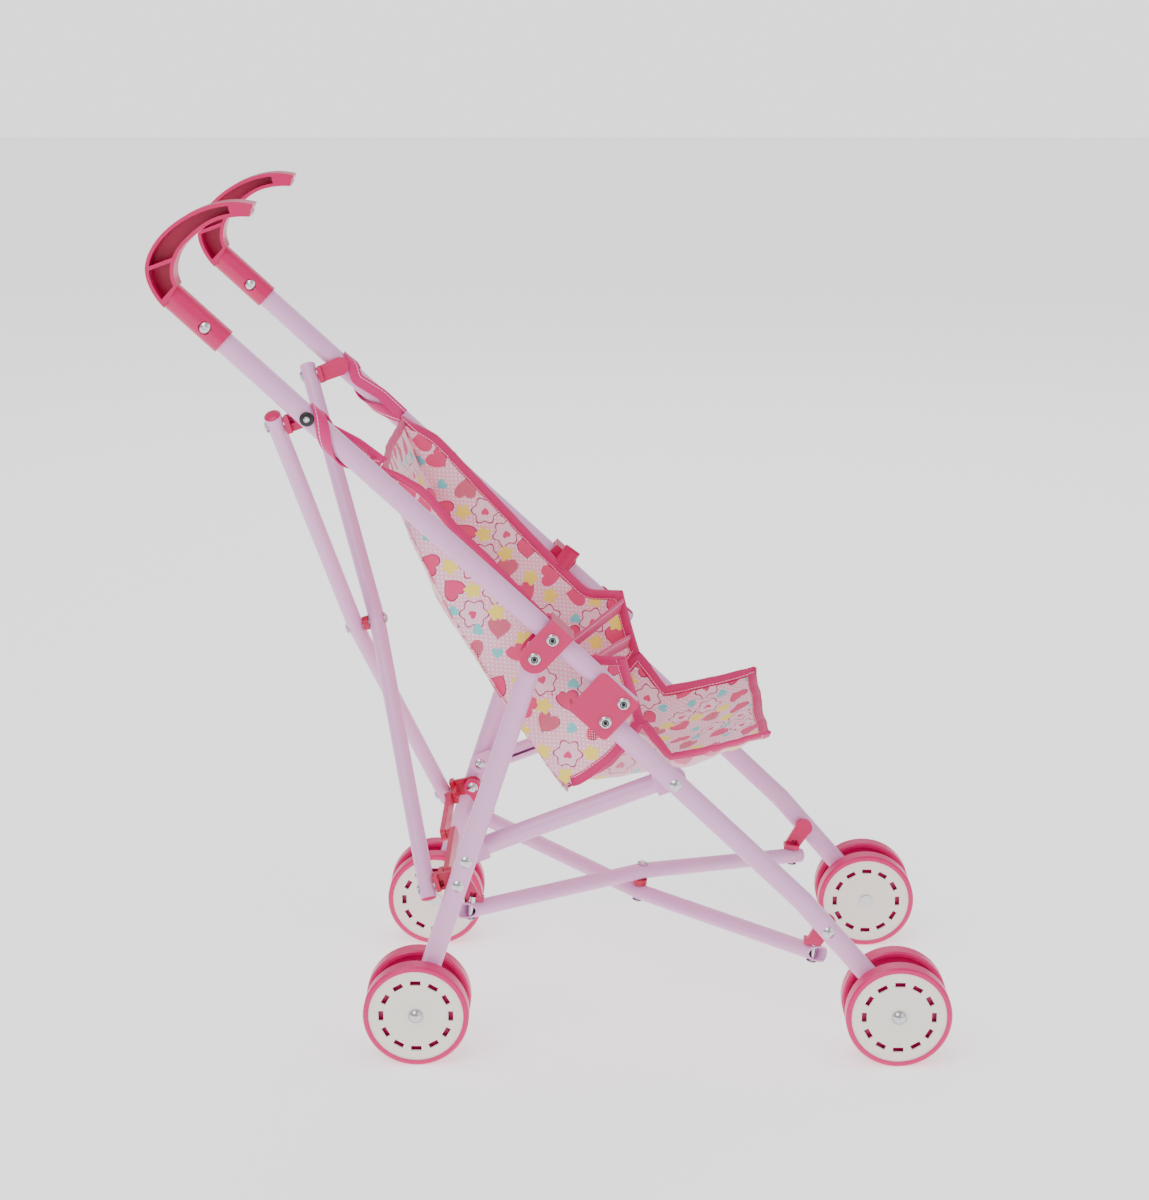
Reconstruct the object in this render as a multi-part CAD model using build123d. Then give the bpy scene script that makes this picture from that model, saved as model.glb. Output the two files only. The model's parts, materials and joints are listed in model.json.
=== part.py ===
from build123d import *
import math
import os

# Doll stroller that folds like an umbrella: two side frames of tube tied by two X pairs of bars, a cloth seat
# slung between the push tubes. +X is forward, +Y the stroller's left, +Z up, and the ground is z = 0.

# ---- overall sizes --------------------------------------------------------------------------------
WHEELBASE = 300.0
REAR_AXLE_X = -91.6
FRAME_HALF_WIDTH = 97.0  # centre plane of a side frame

# ---- tubes ----------------------------------------------------------------------------------------
TUBE_R = 6.5
TUBE_WALL = 1.0
LINK_R = 6.1
TAB_HALF = 7.0
TAB_LENGTH = 13.0
BAR_R = 5.2
TUBE_OVERRUN = 8.0  # tube left beyond an end rivet
PIVOT_OVERRUN = 6.2  # the same where a tube's end swings beside another tube

# ---- rear leg, from its axle up to the leg pivot --------------------------------------------------
REAR_LEG_LEAN = 18.08
REAR_LEG_LENGTH = 240.0
SIDE_LINK_UP = 102.0
BRACKET_PIN_UP = 85.4

# ---- push tube, from its lower pivot up to the handle ---------------------------------------------
PUSH_SLOPE = 42.9
BRACKET_OFFSET = 16.0  # between the two rivets of a side bracket
UPPER_BRACKET_UP = 58.4
TOP_PIN_UP = 255.0
HANDLE_PIN_UP = 334.0

# ---- front leg, from the elbow bracket down to its axle -------------------------------------------
FRONT_LEG_SLOPE = 44.0
FRONT_LINK_DOWN = 59.4
FRONT_BEND_DOWN = 171.2
FRONT_PIN_PAST_BEND = 24.0

# ---- wheels ---------------------------------------------------------------------------------------
WHEEL_R = 33.0
WHEEL_WIDTH = 11.6
WHEEL_GAP = 0.7  # wheel to tube
TYRE_RIM = 3.4
TYRE_WEB = 2.6
TYRE_HUB_R = 7.0
TYRE_EDGE = 1.2
DISC_PLATE = 1.6
DISC_INSET = 0.7
DISC_HUB_R = 5.5
SLOTS = 12
SLOT_IN = 7.9  # from the rim's inside in to the middle of a slot
SLOT_LENGTH = 6.6
SLOT_WIDTH = 3.2
AXLE_R = 2.5
CAP_R = 4.7
CAP_HEIGHT = 3.0
WASHER = 0.8
WASHER_R = 4.2

# ---- side brackets --------------------------------------------------------------------------------
PLATE = 2.4
UPPER_BRACKET_HALF = 9.0
ELBOW_BACK = 22.8
ELBOW_FRONT = 7.8
CORNER = 3.0

# ---- rivets ---------------------------------------------------------------------------------------
RIVET_R = 2.0
RIVET_HEAD_R = 3.7
RIVET_HEAD = 1.6
EYELET_R = 1.3
EYELET_FLOOR = 0.4  # how high in the head the eyelet's hole stops, as a share

# ---- cross bars -----------------------------------------------------------------------------------
REAR_BAR_IN = 7.46  # from a side frame's plane in to a rear bar's end rivet
SEAT_BAR_IN = 11.57  # the same for a seat bar
BRACKET_REACH = 21.0  # from a bracket's own pin out to the bar it carries
REAR_INSET = 10.0
FRONT_INSET = 5.0
SPACER = 4.2
SPACER_R = 4.6
BAR_OVERRUN = 7.0
SEAT_END_IN = 8.5  # from a side frame's plane in to where the seat bars' ends are cut off
SEAT_SLIDE = 1.6  # extra room beside the ears of the seat X
EAR = 3.0
EAR_R = 6.0
PAD_WIDTH = 9.0
PAD_SHORT = 3.6
PAD_LONG = 7.0

# ---- lock arms ------------------------------------------------------------------------------------
LOCK_IN = 22.8  # from a side frame's plane in to the stub that a lock arm turns on
LOCK_DEPTH = 8.2  # behind the bracket pins
LOCK_THICK = 3.6
LOCK_HEIGHT = 8.0
LOCK_BOSS_R = 3.2
STUB_HEAD = 1.2

# ---- handles --------------------------------------------------------------------------------------
SOCKET_R = 7.9
SOCKET_DOWN = 13.5  # socket left below the handle rivet
TUBE_END_UP = 10.0  # where the push tube stops inside the handle
GRIP_WIDTH = 17.0
GRIP_WALL = 2.2
GRIP_BACK = 3.0
RIB_AT = (44.0, 8.5)  # the cross rib, up the tube and square to it from the handle rivet
RIB_TILT = -63.0
NOTCH_AT = (23.6, 70.3)
NOTCH_R = 1.5

# ---- seat cloth -----------------------------------------------------------------------------------
CLOTH = 1.4
SEAT_IN = 18.0  # from a side frame's plane in to the cloth
SEAT_TOP_UP = 197.0  # top corner, measured up the push tube from its lower pivot
WING_UP = 30.0
TIE_WIDTH = 9.0
TIE_UP = 240.0
SEAT_EASE = 0.8  # between the wings and the turned-up sides of the base
STRAP_WIDTH = 10.0
CLIP_UP = 56.0
CLIP_RISE = 12.0
CLIP_LENGTH = 11.0
CLIP_HEIGHT = 9.0
CLIP_THICK = 2.5

# ---- fits -----------------------------------------------------------------------------------------
RUNNING = 0.05  # radial, a shaft that turns in its hole
SEATED = 0.03  # radial, a rivet that holds its hole
SIDE_GAP = 0.3  # between faces that slide past each other


# ---- places in the side plane, as (x, z) ----------------------------------------------------------
def step(point, direction, distance):
    """The point a distance along a direction."""
    return (point[0] + direction[0] * distance, point[1] + direction[1] * distance)


def heading(degrees):
    """A direction in the side plane, in degrees up from straight ahead."""
    return (math.cos(math.radians(degrees)), math.sin(math.radians(degrees)))


def between(start, end):
    """The unit direction and the distance from one point to another."""
    dx, dz = end[0] - start[0], end[1] - start[1]
    length = math.hypot(dx, dz)
    return (dx / length, dz / length), length


REAR_BAR_HALF = FRAME_HALF_WIDTH - REAR_BAR_IN  # these five are measured from the middle plane
SEAT_BAR_HALF = FRAME_HALF_WIDTH - SEAT_BAR_IN
SEAT_BAR_END = FRAME_HALF_WIDTH - SEAT_END_IN
LOCK_HALF = FRAME_HALF_WIDTH - LOCK_IN
SEAT_HALF = FRAME_HALF_WIDTH - SEAT_IN
REAR_AXLE = (REAR_AXLE_X, WHEEL_R)
FRONT_AXLE = (REAR_AXLE_X + WHEELBASE, WHEEL_R)
LEG_UP = heading(90 - REAR_LEG_LEAN)
LEG_PIVOT = step(REAR_AXLE, LEG_UP, REAR_LEG_LENGTH)
LINK_REAR_PIN = step(REAR_AXLE, LEG_UP, SIDE_LINK_UP)
BRACKET_PIN = step(REAR_AXLE, LEG_UP, BRACKET_PIN_UP)

PUSH_UP = heading(180 - PUSH_SLOPE)
PUSH_UNDER = heading(270 - PUSH_SLOPE)  # square to the tube, towards its lower side
UPPER_RIVET = step(LEG_PIVOT, PUSH_UNDER, -BRACKET_OFFSET)
ELBOW_PIVOT = step(UPPER_RIVET, PUSH_UP, -UPPER_BRACKET_UP)
ELBOW_RIVET = step(ELBOW_PIVOT, PUSH_UNDER, BRACKET_OFFSET)
TOP_PIN = step(ELBOW_PIVOT, PUSH_UP, TOP_PIN_UP)
HANDLE_PIN = step(ELBOW_PIVOT, PUSH_UP, HANDLE_PIN_UP)

FRONT_DOWN = heading(-FRONT_LEG_SLOPE)
LINK_FRONT_PIN = step(ELBOW_RIVET, FRONT_DOWN, FRONT_LINK_DOWN)
FRONT_BEND = step(ELBOW_RIVET, FRONT_DOWN, FRONT_BEND_DOWN)
FRONT_LOWER, FRONT_LOWER_LENGTH = between(FRONT_BEND, FRONT_AXLE)
FRONT_PIN = step(FRONT_BEND, FRONT_LOWER, FRONT_PIN_PAST_BEND)

REAR_X_UP, REAR_X_SPAN = between(BRACKET_PIN, TOP_PIN)
SEAT_X_AHEAD, SEAT_X_SPAN = between(BRACKET_PIN, FRONT_PIN)
REAR_X_OUT = (-REAR_X_UP[1], REAR_X_UP[0])  # square to the rear X, towards the back
SEAT_X_OUT = (SEAT_X_AHEAD[1], -SEAT_X_AHEAD[0])  # square to the seat X, downwards


# ---- shapes ---------------------------------------------------------------------------------------
STANDING = (Align.CENTER, Align.CENTER, Align.MIN)


def at(point, y):
    """A side-plane point, in space."""
    return Vector(point[0], y, point[1])


def rod(start, end, radius):
    """A round bar from one point in space to another."""
    line = Vector(*end) - Vector(*start)
    return Solid.make_cylinder(radius, line.length, Plane(origin=start, z_dir=line))


def cross_rod(point, y_low, y_high, radius):
    """A round bar across the stroller."""
    return rod(at(point, y_low), at(point, y_high), radius)


def flat(outline, origin, along, y_low, y_high):
    """A plate from a sketch whose x runs along a side-plane direction and whose y is square to it."""
    base = Plane(origin=at(origin, y_low), x_dir=at(along, 0), z_dir=(0, 1, 0))
    return extrude(base * outline, amount=y_high - y_low)


def profile(outline, y_low, y_high):
    """A piece cut from a side view drawn in the stroller's own x and z."""
    place = Plane(origin=(0, y_high, 0), x_dir=(1, 0, 0), z_dir=(0, -1, 0))
    return extrude(place * outline, amount=y_high - y_low)


def pipe(points, radius, wall):
    """A hollow tube through points in space, rounded where it bends."""
    skins = []
    for reach in (radius, radius - wall):
        skin = Part() + rod(points[0], points[1], reach)
        for start, end in zip(points[1:], points[2:]):
            skin = skin + rod(start, end, reach) + Pos(*start) * Sphere(reach)
        skins.append(skin)
    return skins[0] - skins[1]


def rivet(point, y_low, y_high, eyelet=True):
    """A cross rivet with a domed head at each end, its shank between two outer faces."""
    return stud(at(point, y_low), at(point, y_high), eyelet)


def stud(low, high, eyelet=True):
    """A rivet between two points in space, with a head beyond each."""
    head = Part() + dome(RIVET_HEAD_R, RIVET_HEAD)
    if eyelet:
        head -= Pos(0, 0, RIVET_HEAD * EYELET_FLOOR) * Cylinder(EYELET_R, RIVET_HEAD, align=STANDING)
    body = Part() + rod(low, high, RIVET_R)
    for end, other in ((low, high), (high, low)):
        body += Plane(origin=end, z_dir=Vector(*end) - Vector(*other)) * head
    return body


def dome(radius, height):
    """A low round cap standing on z = 0."""
    ball_r = (radius * radius + height * height) / (2 * height)
    cap = Pos(0, 0, height - ball_r) * Sphere(ball_r)
    return cap & Cylinder(radius * 1.2, height * 2, align=STANDING)


def outlined(points):
    """A flat outline from its corners."""
    return make_face(Polyline(*points, close=True))


Y = -FRAME_HALF_WIDTH  # the right side frame's plane: every side piece is drawn here and mirrored
INNER_FACE = Y + TUBE_R
OUTER_FACE = Y - TUBE_R
BRACKET_IN = INNER_FACE + SIDE_GAP
BRACKET_OUT = OUTER_FACE - SIDE_GAP
PLATE_IN = BRACKET_IN + PLATE
PLATE_OUT = BRACKET_OUT - PLATE


def flush_rivet(point, y_outer, eyelet=True):
    """A rivet headed on the outside and flush with the tube's inner face, where something slides past."""
    outer = at(point, y_outer)
    head = Part() + dome(RIVET_HEAD_R, RIVET_HEAD)
    if eyelet:
        head -= Pos(0, 0, RIVET_HEAD * EYELET_FLOOR) * Cylinder(EYELET_R, RIVET_HEAD, align=STANDING)
    shank = Part() + rod(outer, at(point, INNER_FACE), RIVET_R)
    return shank + Plane(origin=outer, z_dir=(0, -1, 0)) * head


# ---- side frame -----------------------------------------------------------------------------------
def push_tube():
    """The long tube from the elbow bracket up into the handle."""
    start = step(ELBOW_PIVOT, PUSH_UP, -PIVOT_OVERRUN)
    end = step(HANDLE_PIN, PUSH_UP, TUBE_END_UP)
    tube = pipe([at(start, Y), at(end, Y)], TUBE_R, TUBE_WALL)
    tube -= cross_rod(ELBOW_PIVOT, OUTER_FACE, INNER_FACE, RIVET_R + RUNNING)
    for point in (UPPER_RIVET, HANDLE_PIN, TOP_PIN):
        tube -= cross_rod(point, OUTER_FACE, INNER_FACE, RIVET_R + SEATED)
    return tube


def upper_bracket():
    """The channel fixed on the push tube, that the rear leg swings in."""
    half = UPPER_BRACKET_HALF
    roof = TUBE_R + SIDE_GAP
    below = outlined([(-half, 0), (-half, roof + PLATE), (half, roof + PLATE), (half, 0)])
    lower = Pos(0, -BRACKET_OFFSET) * Circle(half) + Pos(0, -BRACKET_OFFSET / 2) * Rectangle(
        2 * half, BRACKET_OFFSET
    )
    body = flat(below + lower, UPPER_RIVET, PUSH_UP, PLATE_OUT, PLATE_IN)
    slot = Pos(0, roof - 2 * half) * Rectangle(4 * half, 4 * half)
    body -= flat(slot, UPPER_RIVET, PUSH_UP, BRACKET_OUT, BRACKET_IN)
    body -= cross_rod(UPPER_RIVET, PLATE_OUT, PLATE_IN, RIVET_R + SEATED)
    body -= cross_rod(LEG_PIVOT, PLATE_OUT, PLATE_IN, RIVET_R + SEATED)
    return body


def elbow_bracket():
    """The cover on the front leg's top, that the push tube's lower end turns on: an outer plate and a web."""
    low = -(BRACKET_OFFSET + TUBE_R + SIDE_GAP + PLATE)
    high = TUBE_R
    outline = outlined([(-ELBOW_FRONT, low), (-ELBOW_FRONT, high), (ELBOW_BACK, high), (ELBOW_BACK, low)])
    outline = fillet(outline.vertices(), CORNER)
    body = flat(outline, ELBOW_PIVOT, PUSH_UP, PLATE_OUT, INNER_FACE)
    room = 4 * ELBOW_BACK
    slot = Pos(0, low + PLATE + room / 2) * Rectangle(room, room)
    body -= flat(slot, ELBOW_PIVOT, PUSH_UP, BRACKET_OUT, BRACKET_IN)
    for point in (ELBOW_PIVOT, ELBOW_RIVET):
        body -= cross_rod(point, PLATE_OUT, BRACKET_OUT, RIVET_R + SEATED)
    return body


def front_leg():
    """The front leg, bent a little above its wheels."""
    top = step(ELBOW_RIVET, FRONT_DOWN, -TUBE_OVERRUN)
    foot = step(FRONT_AXLE, FRONT_LOWER, TUBE_OVERRUN)
    leg = pipe([at(top, Y), at(FRONT_BEND, Y), at(foot, Y)], TUBE_R, TUBE_WALL)
    leg -= cross_rod(FRONT_AXLE, OUTER_FACE, INNER_FACE, AXLE_R + SEATED)
    for point in (ELBOW_RIVET, LINK_FRONT_PIN, FRONT_PIN):
        leg -= cross_rod(point, OUTER_FACE, INNER_FACE, RIVET_R + SEATED)
    return leg


def rear_leg():
    """The straight rear leg, from its pivot in the upper bracket down to the rear axle."""
    top = step(LEG_PIVOT, LEG_UP, PIVOT_OVERRUN)
    foot = step(REAR_AXLE, LEG_UP, -TUBE_OVERRUN)
    leg = pipe([at(foot, Y), at(top, Y)], TUBE_R, TUBE_WALL)
    leg -= cross_rod(LEG_PIVOT, OUTER_FACE, INNER_FACE, RIVET_R + RUNNING)
    leg -= cross_rod(REAR_AXLE, OUTER_FACE, INNER_FACE, AXLE_R + SEATED)
    for point in (LINK_REAR_PIN, BRACKET_PIN):
        leg -= cross_rod(point, OUTER_FACE, INNER_FACE, RIVET_R + SEATED)
    return leg


LINK_DIR, LINK_LENGTH = between(LINK_REAR_PIN, LINK_FRONT_PIN)


def side_link():
    """The link between the legs: a tube pressed flat where it is riveted to the inner faces of both legs."""
    inner, outer = BRACKET_IN, BRACKET_IN + EAR
    middle = inner + LINK_R
    start = step(LINK_REAR_PIN, LINK_DIR, TAB_LENGTH)
    end = step(LINK_FRONT_PIN, LINK_DIR, -TAB_LENGTH)
    link = rod(at(start, middle), at(end, middle), LINK_R)
    for pin, way, near in ((LINK_REAR_PIN, 1, start), (LINK_FRONT_PIN, -1, end)):
        tab = Circle(TAB_HALF) + Pos(way * TAB_LENGTH / 2, 0) * Rectangle(TAB_LENGTH, 2 * TAB_HALF)
        link += flat(tab, pin, LINK_DIR, inner, outer)
        throat = Plane(origin=at(near, middle), z_dir=at(LINK_DIR, 0) * way)
        mouth = Plane(
            origin=at(step(near, LINK_DIR, -way * TAB_LENGTH * 0.3), (inner + outer) / 2),
            x_dir=at((-LINK_DIR[1], LINK_DIR[0]), 0),
            z_dir=at(LINK_DIR, 0) * way,
        )
        link += loft(
            [throat * Circle(LINK_R), mouth * Rectangle(2 * TAB_HALF, EAR)]
        )
    bore = rod(at(start, middle), at(end, middle), LINK_R - TUBE_WALL)
    drain = flat(
        Rectangle(LINK_LENGTH - 2 * TAB_LENGTH, 2.0), step(start, LINK_DIR, LINK_LENGTH / 2 - TAB_LENGTH),
        LINK_DIR, middle, middle + 2 * LINK_R,
    )
    link -= bore + drain
    link -= cross_rod(LINK_REAR_PIN, inner, outer, RIVET_R + RUNNING)
    return link


# ---- wheels and axles -----------------------------------------------------------------------------
WHEEL_FACE = TUBE_R + WHEEL_GAP  # from the leg's plane to the wheel's near face
RIM_IN = WHEEL_R - TYRE_RIM
SLOT_CIRCLE_R = RIM_IN - SLOT_IN
DISC_OUT = WHEEL_WIDTH - DISC_INSET
WEB_AT = DISC_OUT - DISC_PLATE - TYRE_WEB - 2.7
AXLE_END = DISC_OUT + SIDE_GAP


def turned(outline):
    """A round solid turned about its own z, from corners given as (radius, height)."""
    return revolve(Plane.XZ * outlined(outline), Axis.Z)


def tyre():
    """The moulded wheel: rim, web and hub, standing on its leg side."""
    web_top = WEB_AT + TYRE_WEB
    bore = AXLE_R + RUNNING
    corners = [(bore, 0), (TYRE_HUB_R, 0), (TYRE_HUB_R, WEB_AT), (RIM_IN, WEB_AT), (RIM_IN, TYRE_EDGE / 2)]
    corners += [(RIM_IN + TYRE_EDGE / 2, 0), (WHEEL_R - TYRE_EDGE, 0), (WHEEL_R, TYRE_EDGE)]
    corners += [(WHEEL_R, WHEEL_WIDTH - TYRE_EDGE), (WHEEL_R - TYRE_EDGE, WHEEL_WIDTH)]
    corners += [(RIM_IN, WHEEL_WIDTH), (RIM_IN, web_top), (bore, web_top)]
    return turned(corners)


def disc():
    """The pale disc pressed into the wheel's outer face, with its ring of slots."""
    web_top = WEB_AT + TYRE_WEB
    bore = AXLE_R + RUNNING
    edge = RIM_IN - SEATED
    low = DISC_OUT - DISC_PLATE
    half_section = [(bore, web_top), (DISC_HUB_R, web_top), (DISC_HUB_R, low), (edge, low), (edge, DISC_OUT)]
    plate = turned(half_section + [(bore, DISC_OUT)])
    slot = Pos(SLOT_CIRCLE_R, 0, DISC_OUT) * Box(SLOT_WIDTH, SLOT_LENGTH, 4 * DISC_PLATE)
    for n in range(SLOTS):
        plate -= Rot(0, 0, 360 * n / SLOTS) * slot
    return plate


def on_leg(piece, axle, side, outward):
    """A wheel piece put on an axle: side is -1 right or 1 left, outward is -1 or 1 along Y from the leg."""
    face = side * FRAME_HALF_WIDTH + outward * WHEEL_FACE
    return Plane(origin=at(axle, face), x_dir=(0, 0, 1), z_dir=(0, outward, 0)) * piece


def axle(centre):
    """A steel axle through a leg, capped outside and held by a star washer inside."""
    reach = WHEEL_FACE + AXLE_END
    shaft = Part() + cross_rod(centre, Y - reach, Y + reach + WASHER, AXLE_R)
    cap = dome(CAP_R, CAP_HEIGHT)
    shaft += Plane(origin=at(centre, Y - reach), z_dir=(0, -1, 0)) * cap
    shaft += cross_rod(centre, Y + reach, Y + reach + WASHER, WASHER_R)
    return shaft


# ---- cross bars and what carries them -------------------------------------------------------------
class CrossPlane:
    """The leaning plane that a pair of crossed bars lies in."""

    def __init__(self, pin, along, outward, span, half, inset_start, inset_end):
        self.start = step(step(pin, outward, BRACKET_REACH), along, inset_start)
        self.along, self.outward, self.half = along, outward, half
        self.length = span - inset_start - inset_end

    def point(self, distance, y, out=0.0):
        """A point in space from the distance along the plane, the side and how far out of it."""
        return at(step(step(self.start, self.along, distance), self.outward, out), y)


REAR_X = CrossPlane(BRACKET_PIN, REAR_X_UP, REAR_X_OUT, REAR_X_SPAN, REAR_BAR_HALF, 0, 0)
SEAT_X = CrossPlane(
    BRACKET_PIN, SEAT_X_AHEAD, SEAT_X_OUT, SEAT_X_SPAN, SEAT_BAR_HALF, REAR_INSET, FRONT_INSET
)
CROSSING_OFFSET = SPACER / 2 + BAR_R
HEAD_SEAT = BAR_R + SIDE_GAP  # from a bar's middle to the flat of a rivet head on it
PAD_OUT = BRACKET_REACH - BAR_R - 2 * SIDE_GAP  # a bracket pad's face towards its bar
PAD_IN = PAD_OUT - EAR


def cross_bar(plane, start_side, out_sign, end_cut):
    """One bar of a pair, bent at the middle to pass clear of the other, its ends cut off where given."""
    low = plane.point(0, start_side * plane.half)
    middle = plane.point(plane.length / 2, 0, out_sign * CROSSING_OFFSET)
    high = plane.point(plane.length, -start_side * plane.half)
    first, last = (low - middle).normalized(), (high - middle).normalized()
    bar = pipe([low + first * BAR_OVERRUN, middle, high + last * BAR_OVERRUN], BAR_R, TUBE_WALL)
    for distance, side in ((0, start_side), (plane.length, -start_side)):
        y = side * plane.half
        through = [plane.point(distance, y, out) for out in (-2 * BAR_R, 2 * BAR_R)]
        bar -= rod(*through, RIVET_R + SEATED)
    reach = 2 * CROSSING_OFFSET
    middle_pin = [plane.point(plane.length / 2, 0, out) for out in (-reach, reach)]
    bar -= rod(*middle_pin, RIVET_R + RUNNING)
    if end_cut:
        for side in (-1, 1):
            beyond = (side * end_cut, side * (end_cut + 4 * BAR_R))
            bar -= cross_rod(BRACKET_PIN, min(beyond), max(beyond), 2 * SEAT_X_SPAN)
    return bar


def bar_studs(plane, start_side, crossing):
    """A bar's end rivets, which reach on through the brackets' pads, and the crossing bolt if it has it."""
    studs, head = Part(), dome(RIVET_HEAD_R, RIVET_HEAD)
    for distance, side in ((0, start_side), (plane.length, -start_side)):
        y = side * plane.half
        inner = plane.point(distance, y, PAD_IN - BRACKET_REACH)
        outer = plane.point(distance, y, HEAD_SEAT)
        studs += rod(inner, outer, RIVET_R) + Plane(origin=outer, z_dir=outer - inner) * head
    if crossing:
        reach = CROSSING_OFFSET + HEAD_SEAT
        mid = plane.length / 2
        studs += stud(plane.point(mid, 0, -reach), plane.point(mid, 0, reach), False)
    return studs


def spacer(plane):
    """The plastic washer that keeps two crossed bars apart."""
    mid, reach = plane.length / 2, SPACER / 2 - SIDE_GAP
    ring = Part() + rod(plane.point(mid, 0, -reach), plane.point(mid, 0, reach), SPACER_R)
    return ring - rod(plane.point(mid, 0, -SPACER), plane.point(mid, 0, SPACER), RIVET_R + RUNNING)


LAYER = EAR + SIDE_GAP


def bar_bracket(pin, plane, distance, room, way, pinned):
    """A bracket on a cross rivet beside the tube: an ear, and a pad that the bar's end turns on.

    The pad runs on past the bar's rivet by way, 1 along the plane or -1 against it. Pinned ears are bored.
    """
    ear_low = BRACKET_IN + room
    local = Plane(origin=at(pin, ear_low), x_dir=at(plane.outward, 0), z_dir=(0, 1, 0))
    seat = plane.point(distance, -plane.half)
    lift = local.to_local_coords(seat).Y
    turn = 1 if local.y_dir.dot(at(plane.along, 0)) > 0 else -1
    ends = sorted((lift - way * turn * PAD_SHORT, lift + way * turn * PAD_LONG))
    outline = Circle(EAR_R) + outlined([(0, EAR_R), (PAD_OUT, ends[1]), (PAD_OUT, ends[0]), (0, -EAR_R)])
    body = extrude(local * outline, amount=EAR)
    pad_low = ear_low if room else -plane.half - PAD_WIDTH / 2
    pad_high = max(-plane.half + PAD_WIDTH / 2, ear_low + EAR)
    pad = Pos((PAD_IN + PAD_OUT) / 2, (ends[0] + ends[1]) / 2) * Rectangle(EAR, ends[1] - ends[0])
    body += flat(pad, pin, plane.outward, pad_low, pad_high)
    if pinned:
        body -= cross_rod(pin, ear_low, ear_low + EAR, RIVET_R + RUNNING)
    stud_root = plane.point(distance, -plane.half, -BAR_R - 2 * EAR)
    return body - rod(stud_root, seat, RIVET_R + RUNNING)


LOCK_TONGUE_AT = LOCK_DEPTH + LOCK_THICK / 2 + SIDE_GAP  # the tongues' front face, behind the bracket pins
LOCK_BEHIND = LOCK_TONGUE_AT + EAR + SIDE_GAP + LOCK_THICK / 2  # the left arm's middle, behind its tongue


def lock_tongue():
    """The inward tongue on a lower rear bracket, that a lock arm turns on."""
    y_out, y_in = BRACKET_IN + EAR, -LOCK_HALF + LOCK_HEIGHT / 2
    outline = Pos(LOCK_TONGUE_AT + EAR / 2, 0) * Rectangle(EAR, LOCK_HEIGHT)
    return flat(outline, BRACKET_PIN, REAR_X_OUT, y_out, y_in)


def lock_stub(side):
    """The headed stub on a tongue: forwards through the right arm, backwards through the left one."""
    root = LOCK_TONGUE_AT if side < 0 else LOCK_TONGUE_AT + EAR
    face = root + side * (LOCK_THICK + 2 * SIDE_GAP)
    spots = [step(BRACKET_PIN, REAR_X_OUT, depth) for depth in (root, face, face + side * STUB_HEAD)]
    base, neck, head = (at(spot, side * LOCK_HALF) for spot in spots)
    return Part() + rod(base, neck, RIVET_R) + rod(neck, head, RIVET_HEAD_R)


def lock_arm(side):
    """One of the two arms that lock the frame open, from a bracket's tongue to the middle.

    They pass each other there, the left one behind, and the right one has a boss that fills the gap.
    """
    depth = LOCK_DEPTH if side < 0 else LOCK_BEHIND
    centre = at(step(BRACKET_PIN, REAR_X_OUT, depth), 0)
    frame = Plane(origin=centre, x_dir=(0, 1, 0), z_dir=at(REAR_X_OUT, 0))
    beam = Pos(side * LOCK_HALF / 2, 0) * SlotCenterToCenter(LOCK_HALF, LOCK_HEIGHT)
    arm = extrude(frame * beam, amount=LOCK_THICK / 2, both=True)
    eye = Pos(side * LOCK_HALF, 0) * Circle(RIVET_R + RUNNING)
    arm -= extrude(frame * eye, amount=LOCK_THICK, both=True)
    if side < 0:
        arm += extrude(frame * Circle(LOCK_BOSS_R), amount=LOCK_THICK / 2 + SIDE_GAP + EAR)
    return arm


# ---- handle ---------------------------------------------------------------------------------------
HOOK_OUTER = [
    (25.0, -6.9), (37.4, -4.2), (47.6, 2.6), (52.5, 13.0),
    (52.8, 32.5), (46.2, 52.0), (36.3, 65.6), (26.0, 73.2),
]
HOOK_INNER = [
    (27.5, 8.0), (34.2, 12.5), (39.0, 21.8), (39.4, 35.8),
    (35.8, 50.7), (29.3, 60.4), (23.0, 66.4),
]
POCKET_FROM = 29.0  # up the tube from the rivet
POCKET_STOP = 6.0  # solid tip left beyond the pocket


def hook_outline(inset=0.0):
    """The hook's side view in the handle's plane, x up the tube and y towards its upper side, or set in."""
    back = Spline(*shifted(HOOK_OUTER, inset))
    front = Spline(*shifted(HOOK_INNER, -inset))
    return make_face(Curve() + [back, Line(back @ 1, front @ 1), front, Line(front @ 0, back @ 0)])


def shifted(points, distance):
    """The points moved square to the line they make, to its left."""
    moved = []
    for n, point in enumerate(points):
        before, after = points[max(n - 1, 0)], points[min(n + 1, len(points) - 1)]
        way, _ = between(before, after)
        moved.append((point[0] - way[1] * distance, point[1] + way[0] * distance))
    return moved


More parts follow.
